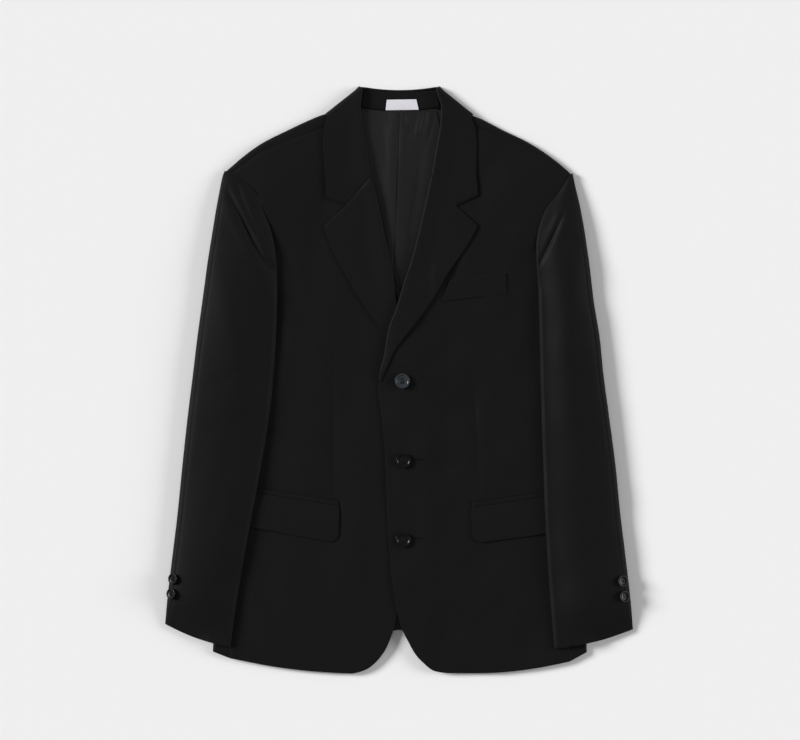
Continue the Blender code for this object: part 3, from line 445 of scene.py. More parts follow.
LINING_CREASES = {
    RIGHT: (
        (((-11, 372), (-12, 330), (-16, 262)), 0.3, 6),
        (((-2, 374), (-3, 340), (-7, 250)), -0.6, 3),
        (((-15, 374), (-14, 346)), -0.3, 5),
        (((-24, 366), (-20, 330), (-17, 280)), -0.35, 5),
        (((-40, 366), (-36, 345), (-32, 318)), 0.3, 4),
    ),
    LEFT: (
        (((7, 374), (6, 344), (2, 270)), 0.5, 4),
        (((12, 374), (12, 352)), -0.7, 2.2),
        (((22, 374), (21, 352), (16, 310)), -0.7, 3.6),
        (((31, 374), (29, 358), (20, 326)), 1, 3.2),
        (((37, 374), (35, 362), (30, 345)), -0.7, 2.4),
        (((43, 374), (42, 356), (36, 328)), 0.7, 2.8),
        (((49, 370), (44, 350), (38, 326)), -0.7, 3),
        (((30, 330), (25, 270), (10, 190)), -1.3, 7),
        (((48, 364), (44, 330), (36, 270)), 0.35, 6),
    ),
}
SLEEVE_CREASES = {
    RIGHT: (
        (((-237, 262), (-218, 226.5), (-201, 192), (-187, 168), (-171, 149)), -4.7, 3.7),
        (((-244, 246), (-225, 212), (-207, 178), (-192, 150), (-180, 128)), 0.9, 6.5),
        (((-224, 269), (-207, 228), (-192, 196)), -2.3, 3.4),
        (((-214, 244), (-196, 204), (-182, 176)), 0.8, 5),
        (((-262, 190), (-240, 120), (-226, 40), (-220, -30)), 1.1, 15),
        (((-176, 60), (-206, 18), (-262, -10)), -0.9, 12),
        (((-182, -30), (-214, -58), (-274, -66)), -0.7, 13),
        (((-276, 60), (-282, -60), (-300, -180)), 0.8, 14),
        (((-210, -120), (-236, -200), (-252, -290)), 0.7, 18),
        (((-226, -60), (-240, -140), (-262, -220)), -0.7, 15),
    ),
    LEFT: (
        (((228, 232), (207, 188), (193, 158)), -2.9, 3),
        (((238, 232), (220, 190), (205, 150)), 0.5, 7),
        (((216, 236), (203, 206)), -0.7, 5),
        (((252, 200), (238, 130), (230, 50), (232, -20)), 1, 15),
        (((197, 44), (222, 12), (266, -6)), -0.8, 12),
        (((199, -50), (230, -72), (282, -76)), -0.6, 13),
        (((270, 60), (280, -60), (298, -180)), 0.8, 14),
        (((206, -140), (228, -220), (240, -310)), 0.6, 18),
        (((232, -70), (246, -150), (262, -230)), -0.6, 15),
    ),
}

# Buttonholes behind the front buttons: x of the eyelet and of the inner end, and y.
BUTTONHOLES = ((2, 17.5, -0.6), (3.5, 30.4, -108.6), (3.5, 30.4, -217.6))
BUTTONHOLE_LIP = 0.42  # from a buttonhole's slit to the middle of its lip
BUTTONHOLE_EYE = 1.9  # radius of its eyelet
BUTTONHOLE_TACK = 1.3  # and half the length of the bar across its inner end
EYE_TO_SLIT = 2.2  # from the eyelet's middle to the start of the slit's lips
TACK_BEYOND = 0.7  # from the slit's end to that bar
TWIST_RISE = 0.1  # of the twist's middle above the cloth
TWIST = 0.42  # radius of buttonhole twist
BUTTON_THREAD = 0.55  # radius of a bar of button thread
SHANK = 3.4  # how far the thread runs down from the button's face
HOLE_SPACING = (0.136, 0.35)  # of a button's holes from its middle, in radii
HOLE_SIZE = 0.085  # their radius, in radii
EDGE_ROUNDING = 0.35  # of a wall's edge, in its thickness

# What each piece of cloth was cut to, along and across its middle: width and length in metres, area
# in square metres, how it is held and what it lies on. Each jet goes with its flap.
CUTS = {
    "back_right": (0.268, 0.744, 0.1424, "laid", "collar"),
    "back_left": (0.268, 0.739, 0.1431, "laid", "collar"),
    "side_right": (0.087, 0.482, 0.0400, "folded", "back_right"),
    "side_left": (0.089, 0.486, 0.0401, "folded", "back_left"),
    "front_right": (0.262, 0.809, 0.1535, "laid", "back_right", "side_right"),
    "front_left": (0.261, 0.817, 0.1569, "laid", "back_left", "side_left", "front_right"),
    "lapel_right": (0.103, 0.231, 0.0134, "folded", "front_right"),
    "lapel_left": (0.103, 0.294, 0.0137, "folded", "front_left"),
    "lining_right": (0.059, 0.286, 0.0118, "laid", "back_right"),
    "lining_left": (0.062, 0.286, 0.0139, "laid", "back_left"),
    "top_sleeve_right": (0.161, 0.687, 0.0909, "folded", "under_sleeve_right", "front_right"),
    "top_sleeve_left": (0.160, 0.671, 0.0841, "folded", "under_sleeve_left", "front_left"),
    "under_sleeve_right": (0.073, 0.617, 0.0360, "laid", "side_right"),
    "under_sleeve_left": (0.078, 0.617, 0.0319, "laid", "side_left"),
    "pocket_flap_right": (0.143, 0.051, 0.0066, "laid", "front_right"),
    "pocket_flap_left": (0.128, 0.051, 0.0060, "laid", "front_left"),
    "breast_welt": (0.090, 0.031, 0.0024, "laid", "front_left"),
    "collar": (0.095, 0.465, 0.0261, "folded", "front_right", "front_left"),
    "collar_stand": (0.109, 0.025, 0.0026, "laid", "collar"),
    "label": (0.046, 0.015, 0.0006, "laid", "collar_stand"),
}

# The picture: the floor's width that it shows in metres, its middle on the floor in millimetres,
# and the camera's height in metres.
FRAME_WIDTH = 1.104
FRAME_MIDDLE = (1.3, 14.2)
CAMERA_HEIGHT = 6.0
IN_FOCUS = 0.008  # height of the plane that FRAME_WIDTH is measured on
SENSOR = 36.0  # width of the camera's sensor, in millimetres
FAR = 50.0  # and how far it sees, in metres
FLOOR_WIDTH = 8.0  # of the paper, in metres
FLOOR_LEVEL = -0.0004  # just below the blazer, in metres
WORLD_LIGHT = 0.2
# Distant softboxes: name, strength, how wide they look in degrees, and the place they shine from.
SOFTBOXES = (
    ("left softbox", 3.9, 20.0, (-2.7, 0.8, 1.45)),
    ("right softbox", 1.8, 28.0, (2.8, 0.3, 1.15)),
    ("overhead softbox", 0.12, 50.0, (0.0, 0.5, 3.0)),
)


# Finishes.


def linear(colour):
    """An sRGB hex colour as linear RGBA."""
    values = [int(colour[i:i + 2], 16) / 255 for i in (1, 3, 5)]
    return (*[v / 12.92 if v <= 0.04045 else ((v + 0.055) / 1.055) ** 2.4 for v in values], 1.0)


def add(material, kind, settings=None, **links):
    """A node with its settings, and links into the sockets that links names."""
    tree = material.node_tree
    node = tree.nodes.new(kind)
    for key, value in (settings or {}).items():
        if hasattr(node, key):
            setattr(node, key, value)
        else:
            node.inputs[key].default_value = value
    for socket, source in links.items():
        tree.links.new(source, node.inputs[socket.replace("_", " ")])
    return node


def new_finish(name, colour, roughness, **settings):
    """A material with only its shader, and that shader."""
    material = bpy.data.materials.new(name)
    material.use_nodes = True
    shader = material.node_tree.nodes["Principled BSDF"]
    shader.inputs["Base Color"].default_value = linear(colour)
    shader.inputs["Roughness"].default_value = roughness
    for socket, value in settings.items():
        shader.inputs[socket.replace("_", " ")].default_value = value
    return material, shader


def woven(material, shader, dark, light, across, along_thread, ridge, turn, thread_size):
    """Threads on a piece's own directions: fine ridges, and slow mottling between two colours."""
    links = material.node_tree.links
    threads = add(material, "ShaderNodeUVMap", {"uv_map": "threads"})
    lie = add(material, "ShaderNodeMapping", {"Rotation": (0.0, 0.0, math.radians(turn)),
                                              "Scale": (across, along_thread, 1.0)},
              Vector=threads.outputs["UV"])
    # A band and the gap beside it are each about one thread wide.
    bands = {"wave_type": "BANDS", "bands_direction": "X",
             "Scale": 0.5 / math.pi / (thread_size * MM),
             "Distortion": 0.25, "Detail": 1.0, "Detail Scale": 1.5}
    twill = add(material, "ShaderNodeTexWave", bands, Vector=lie.outputs["Vector"])
    place = add(material, "ShaderNodeTexCoord")
    mottle = add(material, "ShaderNodeTexNoise", {"Scale": 170.0, "Detail": 4.0, "Roughness": 0.6},
                 Vector=place.outputs["Object"])
    slub = add(material, "ShaderNodeTexNoise", {"Scale": 900.0, "Detail": 2.0, "Roughness": 0.6},
               Vector=place.outputs["Object"])
    tone = add(material, "ShaderNodeMixRGB", {"Color1": linear(dark), "Color2": linear(light)},
               Fac=mottle.outputs["Fac"])
    links.new(tone.outputs["Color"], shader.inputs["Base Color"])
    grain = add(material, "ShaderNodeMath", {"operation": "MULTIPLY_ADD"})
    grain.inputs[1].default_value = 0.35
    links.new(slub.outputs["Fac"], grain.inputs[0])
    links.new(twill.outputs["Fac"], grain.inputs[2])
    relief = add(material, "ShaderNodeBump", {"Strength": ridge, "Distance": 0.0002},
                 Height=grain.outputs["Value"])
    links.new(relief.outputs["Normal"], shader.inputs["Normal"])


# Worsted wool twill: fine diagonal ridges and a dull, soft face with a little light at its edges.
# Its ridges are 0.6 mm apart, and drawn at 1.5 mm to show at all.
worsted, shader = new_finish("black_worsted_twill", "#131314", 0.57, Specular_IOR_Level=0.075,
                             Sheen_Weight=0.08, Sheen_Roughness=0.5, Sheen_Tint=linear("#c8c8d2"))
woven(worsted, shader, "#0c0c0d", "#111112", 1.0, 1.0, 0.4, 63.0, 1.5)

# Viscose satin: long floats that shine in bands along the threads.
satin, shader = new_finish("charcoal_viscose_satin", "#1c1c1e", 0.38, Specular_IOR_Level=0.2,
                           Sheen_Weight=0.05, Sheen_Roughness=0.3)
woven(satin, shader, "#151517", "#1d1d1f", 1.0, 0.12, 0.25, 0.0, 0.9)

# Polyester damask: a close, bright weave with a soft shine.
damask, shader = new_finish("white_polyester_damask", "#d4d2d8", 0.5, Specular_IOR_Level=0.4)
woven(damask, shader, "#cfcdd4", "#dcdae0", 1.0, 1.0, 0.3, 45.0, 0.8)

# Polyester resin: cast, tumbled and polished, so it is smooth and a little cloudy.
resin, shader = new_finish("black_polyester_resin", "#0c0c0e", 0.22, Specular_IOR_Level=0.14)
cloud = add(resin, "ShaderNodeTexNoise", {"Scale": 320.0, "Detail": 3.0},
            Vector=add(resin, "ShaderNodeTexCoord").outputs["Object"])
body = add(resin, "ShaderNodeMixRGB", {"Color1": linear("#09090a"), "Color2": linear("#111113")},
           Fac=cloud.outputs["Fac"])
resin.node_tree.links.new(body.outputs["Color"], shader.inputs["Base Color"])
# A lighter grey copy of the black resin for the top button: its lighter tone is a painted
# reflection, not a different resin.
top_button_resin_painted_reflection = resin.copy()
top_button_resin_painted_reflection.name = "top_button_resin_with_painted_reflection"
for node in top_button_resin_painted_reflection.node_tree.nodes:
    if node.bl_idname == "ShaderNodeMixRGB":
        node.inputs["Color1"].default_value = linear("#2a2d30")
        node.inputs["Color2"].default_value = linear("#34383c")

# Mercerised twist: hard spun, with a slight shine.
twist, shader = new_finish("black_buttonhole_twist", "#08080a", 0.6, Specular_IOR_Level=0.12)
plies = {"wave_type": "BANDS", "bands_direction": "DIAGONAL", "Scale": 260.0}
ply = add(twist, "ShaderNodeTexWave", plies,
          Vector=add(twist, "ShaderNodeTexCoord").outputs["Object"])
bump = add(twist, "ShaderNodeBump", {"Strength": 0.4, "Distance": 0.0001},
           Height=ply.outputs["Fac"])
twist.node_tree.links.new(bump.outputs["Normal"], shader.inputs["Normal"])


# Heights of the middle of the cloth. Pairs are where a change starts and ends.

BODY_HALF = 238.0  # x at which the fronts have come down to their border
HEM_RISE = (-400.0, -300.0)  # y over which they rise from the hem
PAD_PLACE = (178.0, 262.0, 52.0)  # x, y and width of the rise over a shoulder pad
LAP_FADE = (110.0, 190.0)  # y over which the lap runs out into the lapel
LAP_RUN = 36.0  # x over which it comes down beyond LAP_REACH
BREAK_RISE = ((-10.0, 22.0), (110.0, 150.0), (12.0, 48.0))  # up in y, down in y, down in x
ON_FALL = ((312.0, 336.0), (103.0, 130.0))  # where the back rises on the collar in y, and ends in x
OVER_FLAP = ((-300.0, -224.0), (-148.0, -80.0))  # y where a sleeve rises on a flap and comes down
OVER_EDGE = (-28.0, -1.0)  # how far inside the body's side edge the under sleeve rises on it
ARM_LEAVES = (UNDERARM + 20.0, 152.0)  # y over which the sleeve leaves the body's side


def side_x(side, y):
    """The body's outline at a level of y."""
    return read_off(SIDE_LINE, 1 if side == RIGHT else 2, y)


def shoulder_y(side, x):
    """The shoulder's outline at a place across the body."""
    return read_off(SHOULDER_LINE[side], 1, x)


def body_level(x, y):
    """The fronts, before one laps over the other."""
    across = 1.0 - np.minimum(1.0, np.abs(x) / BODY_HALF) ** 3
    lengthwise = ease(*HEM_RISE, y)
    pad_x, pad_y, width = PAD_PLACE
    over_pad = np.exp(-(((np.abs(x) - pad_x) / width) ** 2) - ((y - pad_y) / width) ** 2)
    return BORDER + LOFT * across * lengthwise + PAD * over_pad


def lap_rise(x, y):
    """How much the wearer's left front rises to lie on the right one."""
    lap = LAP * (1.0 - ease(LAP_REACH, LAP_REACH + LAP_RUN, x)) * (1.0 - ease(*LAP_FADE, y))
    up, down, beside = BREAK_RISE
    over_lapel = ease(*up, y) * (1.0 - ease(*down, y))
    return lap + BREAK * over_lapel * (1.0 - ease(*beside, x))


def front_level(side, x, y):
    """The middle of a front's cloth: the wearer's left one lies on the other."""
    return body_level(x, y) + (lap_rise(x, y) if side == LEFT else 0.0)


def back_level(x, y):
    """The back lies on the floor, and on the collar's fall below the neck."""
    lift = ease(*ON_FALL[0], y) * (1.0 - ease(*ON_FALL[1], np.abs(x)))
    return FLOOR + (STAND_LEVEL - FLOOR) * lift


def arm_on_body(x, y):
    """The underside of a sleeve where it lies on a front, and on a pocket flap."""
    over_flap = ease(*OVER_FLAP[0], y) * (1.0 - ease(*OVER_FLAP[1], y))
    return body_level(x, y) + SLEEVE + FLAP * over_flap


def sleeve_base(side, x, y):
    """The underside of a sleeve, on the floor and on the body."""
    inside = np.abs(side_x(side, y)) - np.abs(x)
    on_body = ease(*OVER_EDGE, inside) * (1.0 - ease(*ARM_LEAVES, y))
    return FLOOR + (arm_on_body(x, y) - FLOOR) * on_body


# Making cloth.

CREASE_FADE = 0.6  # power with which a crease fades to its ends
WAVES = (7, (55.0, 150.0), 2.6)  # how many waves, their lengths, and what scales down their sum
FACES_UP = (0.25, 0.75)  # share of the outside's direction that points up, where folds take hold
EDGE_ANGLE = 50.0  # of the wall's edges that are rounded


def put(name, data):
    """A new object of the scene with this data."""
    new = bpy.data.objects.new(name, data)
    bpy.context.scene.collection.objects.link(new)
    return new


def run_of(grid, axis):
    """How far each point of a grid lies down its column (axis 0) or along its row (axis 1)."""
    steps = np.linalg.norm(np.diff(grid, axis=axis), axis=2)
    return np.insert(np.cumsum(steps, axis=axis), 0, 0.0, axis=axis)


def outward(grid, turned):
    """The direction in which the cloth's outside faces at each point of a grid."""
    across = np.gradient(grid, axis=1)
    down = np.gradient(grid, axis=0)
    facing = np.cross(across, down) * (-1.0 if turned else 1.0)
    return facing / (np.linalg.norm(facing, axis=2)[..., None] + 1e-9)


def creased(grid, turned, creases, wave=0.0, seed=0):
    """The grid with soft ridges and troughs worked into the cloth that faces up.

    A crease is its line in plan, its height, which is negative for a trough, and its width.
    wave is the height of the slow unevenness that cloth has where it lies free.
    """
    facing = outward(grid, turned)
    plan = grid[..., :2]
    lift = np.zeros(grid.shape[:2])
    for line, height, width in creases:
        away, place = to_line(plan, line)
        fade = np.sin(math.pi * np.clip(place, 0.02, 0.98)) ** CREASE_FADE
        lift += height * fade * np.exp(-((away / width) ** 2))
    draw = np.random.default_rng(seed)
    count, lengths, calm = WAVES
    for _ in range(count):
        heading, length = draw.uniform(0, math.pi), draw.uniform(*lengths)
        phase = draw.uniform(0, 6.3)
        turns = (plan[..., 0] * math.cos(heading) + plan[..., 1] * math.sin(heading)) / length
        lift += wave / calm * np.sin(2 * math.pi * turns + phase)
    return grid + facing * (lift * ease(*FACES_UP, facing[..., 2]))[..., None]


def sunk(grid, turned, edges, depth=0.55, reach=2.6):
    """The grid rolled in along its sewn edges, so that two pieces meet in a groove."""
    down, across = run_of(grid, 0), run_of(grid, 1)
    away = {
        "first row": down,
        "last row": down[-1] - down,
        "first column": across,
        "last column": across[:, -1:] - across,
    }
    sink = np.max([np.exp(-((away[edge] / reach) ** 2)) for edge in edges], axis=0)
    return grid - outward(grid, turned) * (depth * sink)[..., None]


def groove(grid, turned, line, depth, width):
    """The grid with a narrow groove along a line in plan, as at a dart or a row of stitches."""
    away, _ = to_line(grid[..., :2], line)
    facing = outward(grid, turned)
    dip = depth * ease(*FACES_UP, facing[..., 2]) * np.exp(-((away / width) ** 2))
    return grid - facing * dip[..., None]


def cloth(node, grid, turned, thickness, outside, inside=None):
    """Cloth through a grid of middle points: a wall with rounded edges, in place of its solid."""
    name = f"{node}_cloth"
    grid = np.array(grid, float) - MIDDLE
    rows, columns = grid.shape[:2]
    corner = np.arange(rows - 1)[:, None] * columns + np.arange(columns - 1)[None]
    faces = np.stack([corner, corner + 1, corner + columns + 1, corner + columns], axis=-1)
    faces = faces.reshape(-1, 4)
    if turned:
        faces = faces[:, ::-1]
    mesh = bpy.data.meshes.new(name)
    mesh.from_pydata((grid.reshape(-1, 3) * MM).tolist(), [], faces.tolist())
    # The cloth's own directions, in metres: threads run along and across the piece.
    threads = np.stack([run_of(grid, 1), run_of(grid, 0)], axis=-1).reshape(-1, 2) * MM
    layer = mesh.uv_layers.new(name="threads")
    layer.data.foreach_set("uv", threads[faces.reshape(-1)].reshape(-1).astype(np.float32))
    piece = put(name, mesh)
    mesh.materials.append(outside)
    mesh.materials.append(inside or outside)
    wall = piece.modifiers.new("wall", "SOLIDIFY")
    wall.thickness = thickness * MM
    wall.offset = 0.0
    wall.material_offset = 1
    edge = piece.modifiers.new("folded edge", "BEVEL")
    edge.width = EDGE_ROUNDING * thickness * MM
    edge.segments = 2
    edge.limit_method = "ANGLE"
    edge.angle_limit = math.radians(EDGE_ANGLE)
    apply_modifiers(piece)
    piece.data.shade_smooth()
    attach(piece, "root")
    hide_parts(node)
    if node in CUTS:
        width, length, area, held, *rests_on = CUTS[node]
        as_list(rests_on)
    return piece


def apply_modifiers(piece):
    """The piece's mesh as its modifiers leave it, and no modifiers."""
    shown = bpy.context.evaluated_depsgraph_get()
    finished = bpy.data.meshes.new_from_object(piece.evaluated_get(shown))
    piece.modifiers.clear()
    piece.data = finished


# Body.

TURN_INSIDE = 6.0  # how far inside an edge the levels are read that the cloth turns between
NECK_STEP = 0.5  # between the last rows at the neck, where the back ends
SEAM_SHOWS = 150.0  # y above which a front ends at the sleeve's seam
POINT_CLEAR = 3.0  # x that a front's armhole keeps from the shoulder point
WELT_LIFT = ((40.0, 52.0), (92.0, 106.0), (150.0, 168.0))  # up in x, up in y, down in y
GORGE_LEG = 4.0  # how much more cloth lies beneath the roll at the collar's notch
ROUND = (8.0, 172.0)  # degrees through which the collar turns to the back
LEVEL_FOLD = (90.0, 0.9, 12.0)  # degrees from which the fold runs on level, its share and its reach
BACK_FOLD = (-46.0, 94.0)  # x where the fold beneath the back starts, and how far it goes
BACK_EDGE = (-96.0, 193.0)  # and the same of the fall's edge
FALL_BOW = 14.0  # how much higher that edge is at its ends
STAND_BOW = 0.9  # share of the fold's rise that the stand follows
NECK_SEAM = 1.0  # from the back's edge at the neck to the stand
PLEAT_OPENS = (95.0, 170.0)  # y over which the pleat's ridge rises
LINING_CLEAR = 0.1  # of the lining above the back
LINING_SPAN = (371.5, 90.0)  # y of its upper and lower end


def make_back(side):
    """Half the back, turned over the shoulder to the seam in front of it."""

    def turn(x):
        """Start of the turn over the shoulder, its radius and its lower level."""
        edge = shoulder_y(side, x)
        high, low = body_level(x, edge - TURN_INSIDE), back_level(x, edge - TURN_INSIDE)
        radius = (high - low) / 2
        return edge - CLOTH / 2 - radius, radius, low

    def over(x, y):
        start, radius, low = turn(x)
        beyond = y - start
        angle = np.clip(beyond / radius, 0.0, math.pi)
        past = beyond - math.pi * radius
        turned = np.where(past > 0.0, start - past, start + radius * np.sin(angle))
        high = np.where(past > 0.0, body_level(x, turned), low + radius * (1 - np.cos(angle)))
        plain = (beyond <= 0.0) | (np.abs(x) < NECK_WIDTH)
        high = np.where(plain, back_level(x, y), high)
        return np.stack([x, np.where(plain, y, turned), high], axis=-1)

    neck = smooth_rows(NECK, 18)
    neck[0, 0] = BUTTED / 2
    neck[:, 0] *= side
    columns = np.linspace(SHOULDER[side][0][0], SHOULDER[side][-1][0], 56)
    top = np.vstack([neck, np.stack([columns, turn(columns)[0]], axis=1)])
    seam_y = np.linspace(BACK_HEM[1], UNDERARM, 90)
    seam = np.stack([side_x(side, seam_y) - side * (PANEL_BACK + BUTTED / 2), seam_y], axis=1)
    armhole_y = np.linspace(UNDERARM, ARMHOLE_BACK[-1][0], 36)[1:]
    armhole_x = side_x(side, armhole_y) - side * read_off(ARMHOLE_BACK, 1, armhole_y)
    armhole = np.stack([armhole_x, armhole_y], axis=1)
    outer = np.vstack([seam, armhole, along([armhole[-1], top[-1]], (0.34, 0.67, 1.0))])
    low, high = np.array([side * BUTTED / 2, BACK_HEM[0]]), top[0]
    gone = (outer[:, 1] - outer[0, 1]) / (outer[-1, 1] - outer[0, 1])
    inner = low + (high - low) * gone[:, None]
    flat = fill(spaced([inner[0], outer[0]], len(top)), top, inner, outer)
    body = over(flat[..., 0], flat[..., 1])
    x = top[:, 0]
    start, radius, _ = turn(x)
    ahead = start - shoulder_y(side, x) + read_off(SHOULDER_LINE[side], 2, x) - BUTTED / 2
    turned = []
    for share in list(shares(11)[1:]) + [1.25, 1.5, 1.75, 2.0]:
        reach = start + math.pi * radius * min(share, 1.0) + ahead * max(share - 1, 0)
        at_neck = top[:, 1] + NECK_STEP * share
        turned.append(over(x, np.where(np.abs(x) < NECK_WIDTH, at_neck, reach)))
    grid = np.concatenate([body, np.array(turned)])
    grid = sunk(grid, side == LEFT, ("first column", "last column", "last row"))
    return cloth(f"back_{SIDE_NAME[side]}", grid, side == LEFT, CLOTH, worsted, satin)


def make_side_panel(side):
    """The panel under the arm, folded round the body's side."""
    grid = []
    for share in shares(90):
        back_y = BACK_HEM[1] + share * (UNDERARM - BACK_HEM[1])
        front_y = FRONT_HEM[side] + share * (UNDERARM - FRONT_HEM[side])
        edge = side_x(side, back_y)
        top = body_level(edge - side * TURN_INSIDE, front_y)
        radius = (top - FLOOR) / 2
        centre = edge - side * (CLOTH / 2 + radius)
        seam = side_x(side, front_y) - side * (PANEL - BUTTED / 2)
        turned = math.pi * radius
        way = turned + abs(centre - seam)
        row = []
        start = edge - side * (PANEL_BACK - BUTTED / 2)
        for part in np.linspace(0.0, 0.96, 14):
            row.append((start + (centre - start) * part, back_y, FLOOR))
        for part, (cosine, sine) in zip(shares(13), arc(-90.0, 90.0, 13)):
            y = back_y + (front_y - back_y) * turned * part / way
            row.append((centre + side * radius * cosine, y, FLOOR + radius + radius * sine))
        for part in shares(8)[1:]:
            x = centre + (seam - centre) * part
            y = back_y + (front_y - back_y) * (turned + abs(centre - seam) * part) / way
            row.append((x, y, body_level(x, y)))
        grid.append(row)
    grid = sunk(np.array(grid), side == LEFT, ("first column", "last column"))
    return cloth(f"side_{SIDE_NAME[side]}", grid, side == LEFT, CLOTH, worsted, satin)


def front_armhole(side, count):
    """The front's armhole: hidden under the sleeve, then just inside the sleeve's seam."""
    seam = []
    for _, inner, _, lift, _, _ in sleeve_frames(side, 200):
        if lift < SLEEVE_CLEARS and inner[1] > SEAM_SHOWS:
            seam.append(inner)
    seam = np.array(seam[::-1])
    run = np.gradient(seam, axis=0)
    run /= np.linalg.norm(run, axis=1)[:, None]
    inward = np.stack([run[:, 1], -run[:, 0]], axis=1)
    inward *= -side * np.sign(inward[:, :1])
    widest = abs(SHOULDER[side][-1][0]) - POINT_CLEAR
    edge = [tuple(point) for point in seam + inward * 2 * BUTTED if abs(point[0]) < widest]
    return spaced(list(ARMHOLE_HIDDEN[side][::-1]) + edge, count)


def make_front(side):
    """A front from its edge to the side panel, the armhole and the shoulder seam."""
    panel = PANEL + BUTTED / 2
    seam_y = np.linspace(FRONT_HEM[side], UNDERARM, 120)
    seam = np.stack([side_x(side, seam_y) - side * panel, seam_y], axis=1)
    columns = np.linspace(SHOULDER[side][0][0], SHOULDER[side][-1][0], FRONT_COLUMNS)
    drop = read_off(SHOULDER_LINE[side], 2, columns) + BUTTED / 2
    top = np.stack([columns, shoulder_y(side, columns) - drop], axis=1)
    outer = np.vstack([seam, front_armhole(side, 62)[1:], top[-1:]])
    edge = smooth_rows(FRONT_EDGE[side] + (tuple(top[0]),), 1200)
    inner = along(edge, shares(len(outer)) ** CUTAWAY_CROWD)
    bottom = spaced([inner[0], outer[0]], FRONT_COLUMNS)
    bottom[:, 1] -= HEM_BOW[side] * np.sin(np.linspace(0.0, math.pi, FRONT_COLUMNS))
    plan = fill(bottom, top, inner, outer)
    grid = np.dstack([plan, front_level(side, plan[..., 0], plan[..., 1])])
    grid = creased(grid, side == RIGHT, FRONT_CREASES[side], wave=0.55, seed=11 + side)
    grid = groove(grid, side == RIGHT, DART[side], 0.5, 1.5)
    top_in, top_out, low_in, low_out = np.array(JET_OUTLINE[side])
    mouth = ((top_in + low_in) / 2, (top_out + low_out) / 2)
    grid = groove(grid, side == RIGHT, mouth, *MOUTH_TROUGH)
    grid = sunk(grid, side == RIGHT, ("last column", "last row"))
    return cloth(f"front_{SIDE_NAME[side]}", grid, side == RIGHT, CLOTH, worsted, satin)


def turned_row(side, roll, ends, radius, leg, count, welt=False):
    """A row across a lapel or the collar: a short leg beneath, the roll, and the turned part."""
    roll = np.array(roll)
    first = np.array(ends[0])
    out = (first - roll) / np.linalg.norm(first - roll)
    centre = roll + out * (CLOTH / 2 + radius)
    level = front_level(side, *centre)
    row = []
    for share in np.linspace(1.0, 0.0, LEG_POINTS):
        at = centre + out * leg * share
        row.append((*at, front_level(side, *at) if share else level))
    for cosine, sine in arc(-90.0, 90.0, ROLL_POINTS + 1)[1:]:
        at = centre - out * radius * cosine ** ROLL_PRESS
        row.append((*at, level + radius + radius * sine))
    half = int(round(count * GORGE_BEND))
    path = np.vstack([
        spaced([centre, ends[0]], half + 1)[1:],
        spaced([ends[0], ends[1]], count - half + 1)[1:],
    ])
    away = np.linalg.norm(path - centre, axis=1)
    height = TURNED + (2 * radius - TURNED) * np.exp(-((away / ROLL_WIDTH) ** 2))
    if welt:
        x, y = path[:, 0], path[:, 1]
        beside, up, down = WELT_LIFT
        height += WELT_RISE * ease(*beside, x) * ease(*up, y) * (1.0 - ease(*down, y))
    for at, rise in zip(path, height):
        row.append((*at, front_level(side, *at) + rise))
    return row


def bent_middle(sections, share, reach, corner):
    """The point on a row across a lapel or the collar where its seam at the gorge bends it."""
    roll_x, roll_y, edge_x, edge_y, _ = sections[0]
    bend = max(0.0, 1.0 - share / reach)
    return bend * bend * (np.array(corner) - np.array([roll_x + edge_x, roll_y + edge_y]) / 2)


def make_lapel(side):
    """A lapel turned over at its roll line, from the gorge to the break."""
    rows = smooth_rows(LAPEL_SECTIONS[side], 80)
    grid = []
    for share, (roll_x, roll_y, edge_x, edge_y, radius) in zip(shares(len(rows)), rows):
        middle = np.array([(roll_x + edge_x) / 2, (roll_y + edge_y) / 2])
        middle = middle + bent_middle(rows, share, LAPEL_BEND, GORGE[side])
        leg = LAPEL_LEG[0] + (LAPEL_LEG[1] - LAPEL_LEG[0]) * share
        grid.append(turned_row(side, (roll_x, roll_y), (middle, (edge_x, edge_y)), radius, leg, 38,
                               welt=side == LEFT))
    grid = creased(np.array(grid), side == LEFT, LAPEL_CREASES[side], wave=0.15, seed=21 + side)
    grid = sunk(grid, side == LEFT, ("first row",), reach=2.0)
    return cloth(f"lapel_{SIDE_NAME[side]}", grid, side == LEFT, CLOTH, worsted)


def collar_front(side):
    """The collar's rows from its notch up to where it turns over to the back."""
    rows = []
    sections = smooth_rows(COLLAR_SECTIONS[side], 44)
    for share, (roll_x, roll_y, edge_x, edge_y, radius) in zip(shares(44), sections):
        middle = np.array([(roll_x + edge_x) / 2, (roll_y + edge_y) / 2])
        middle = middle + bent_middle(sections, share, COLLAR_BEND, COLLAR_NOTCH[side])
        rows.append(turned_row(side, (roll_x, roll_y), (middle, (edge_x, edge_y)), radius,
                               COLLAR_LEG + GORGE_LEG * (1.0 - share), FALL_POINTS))
    return rows


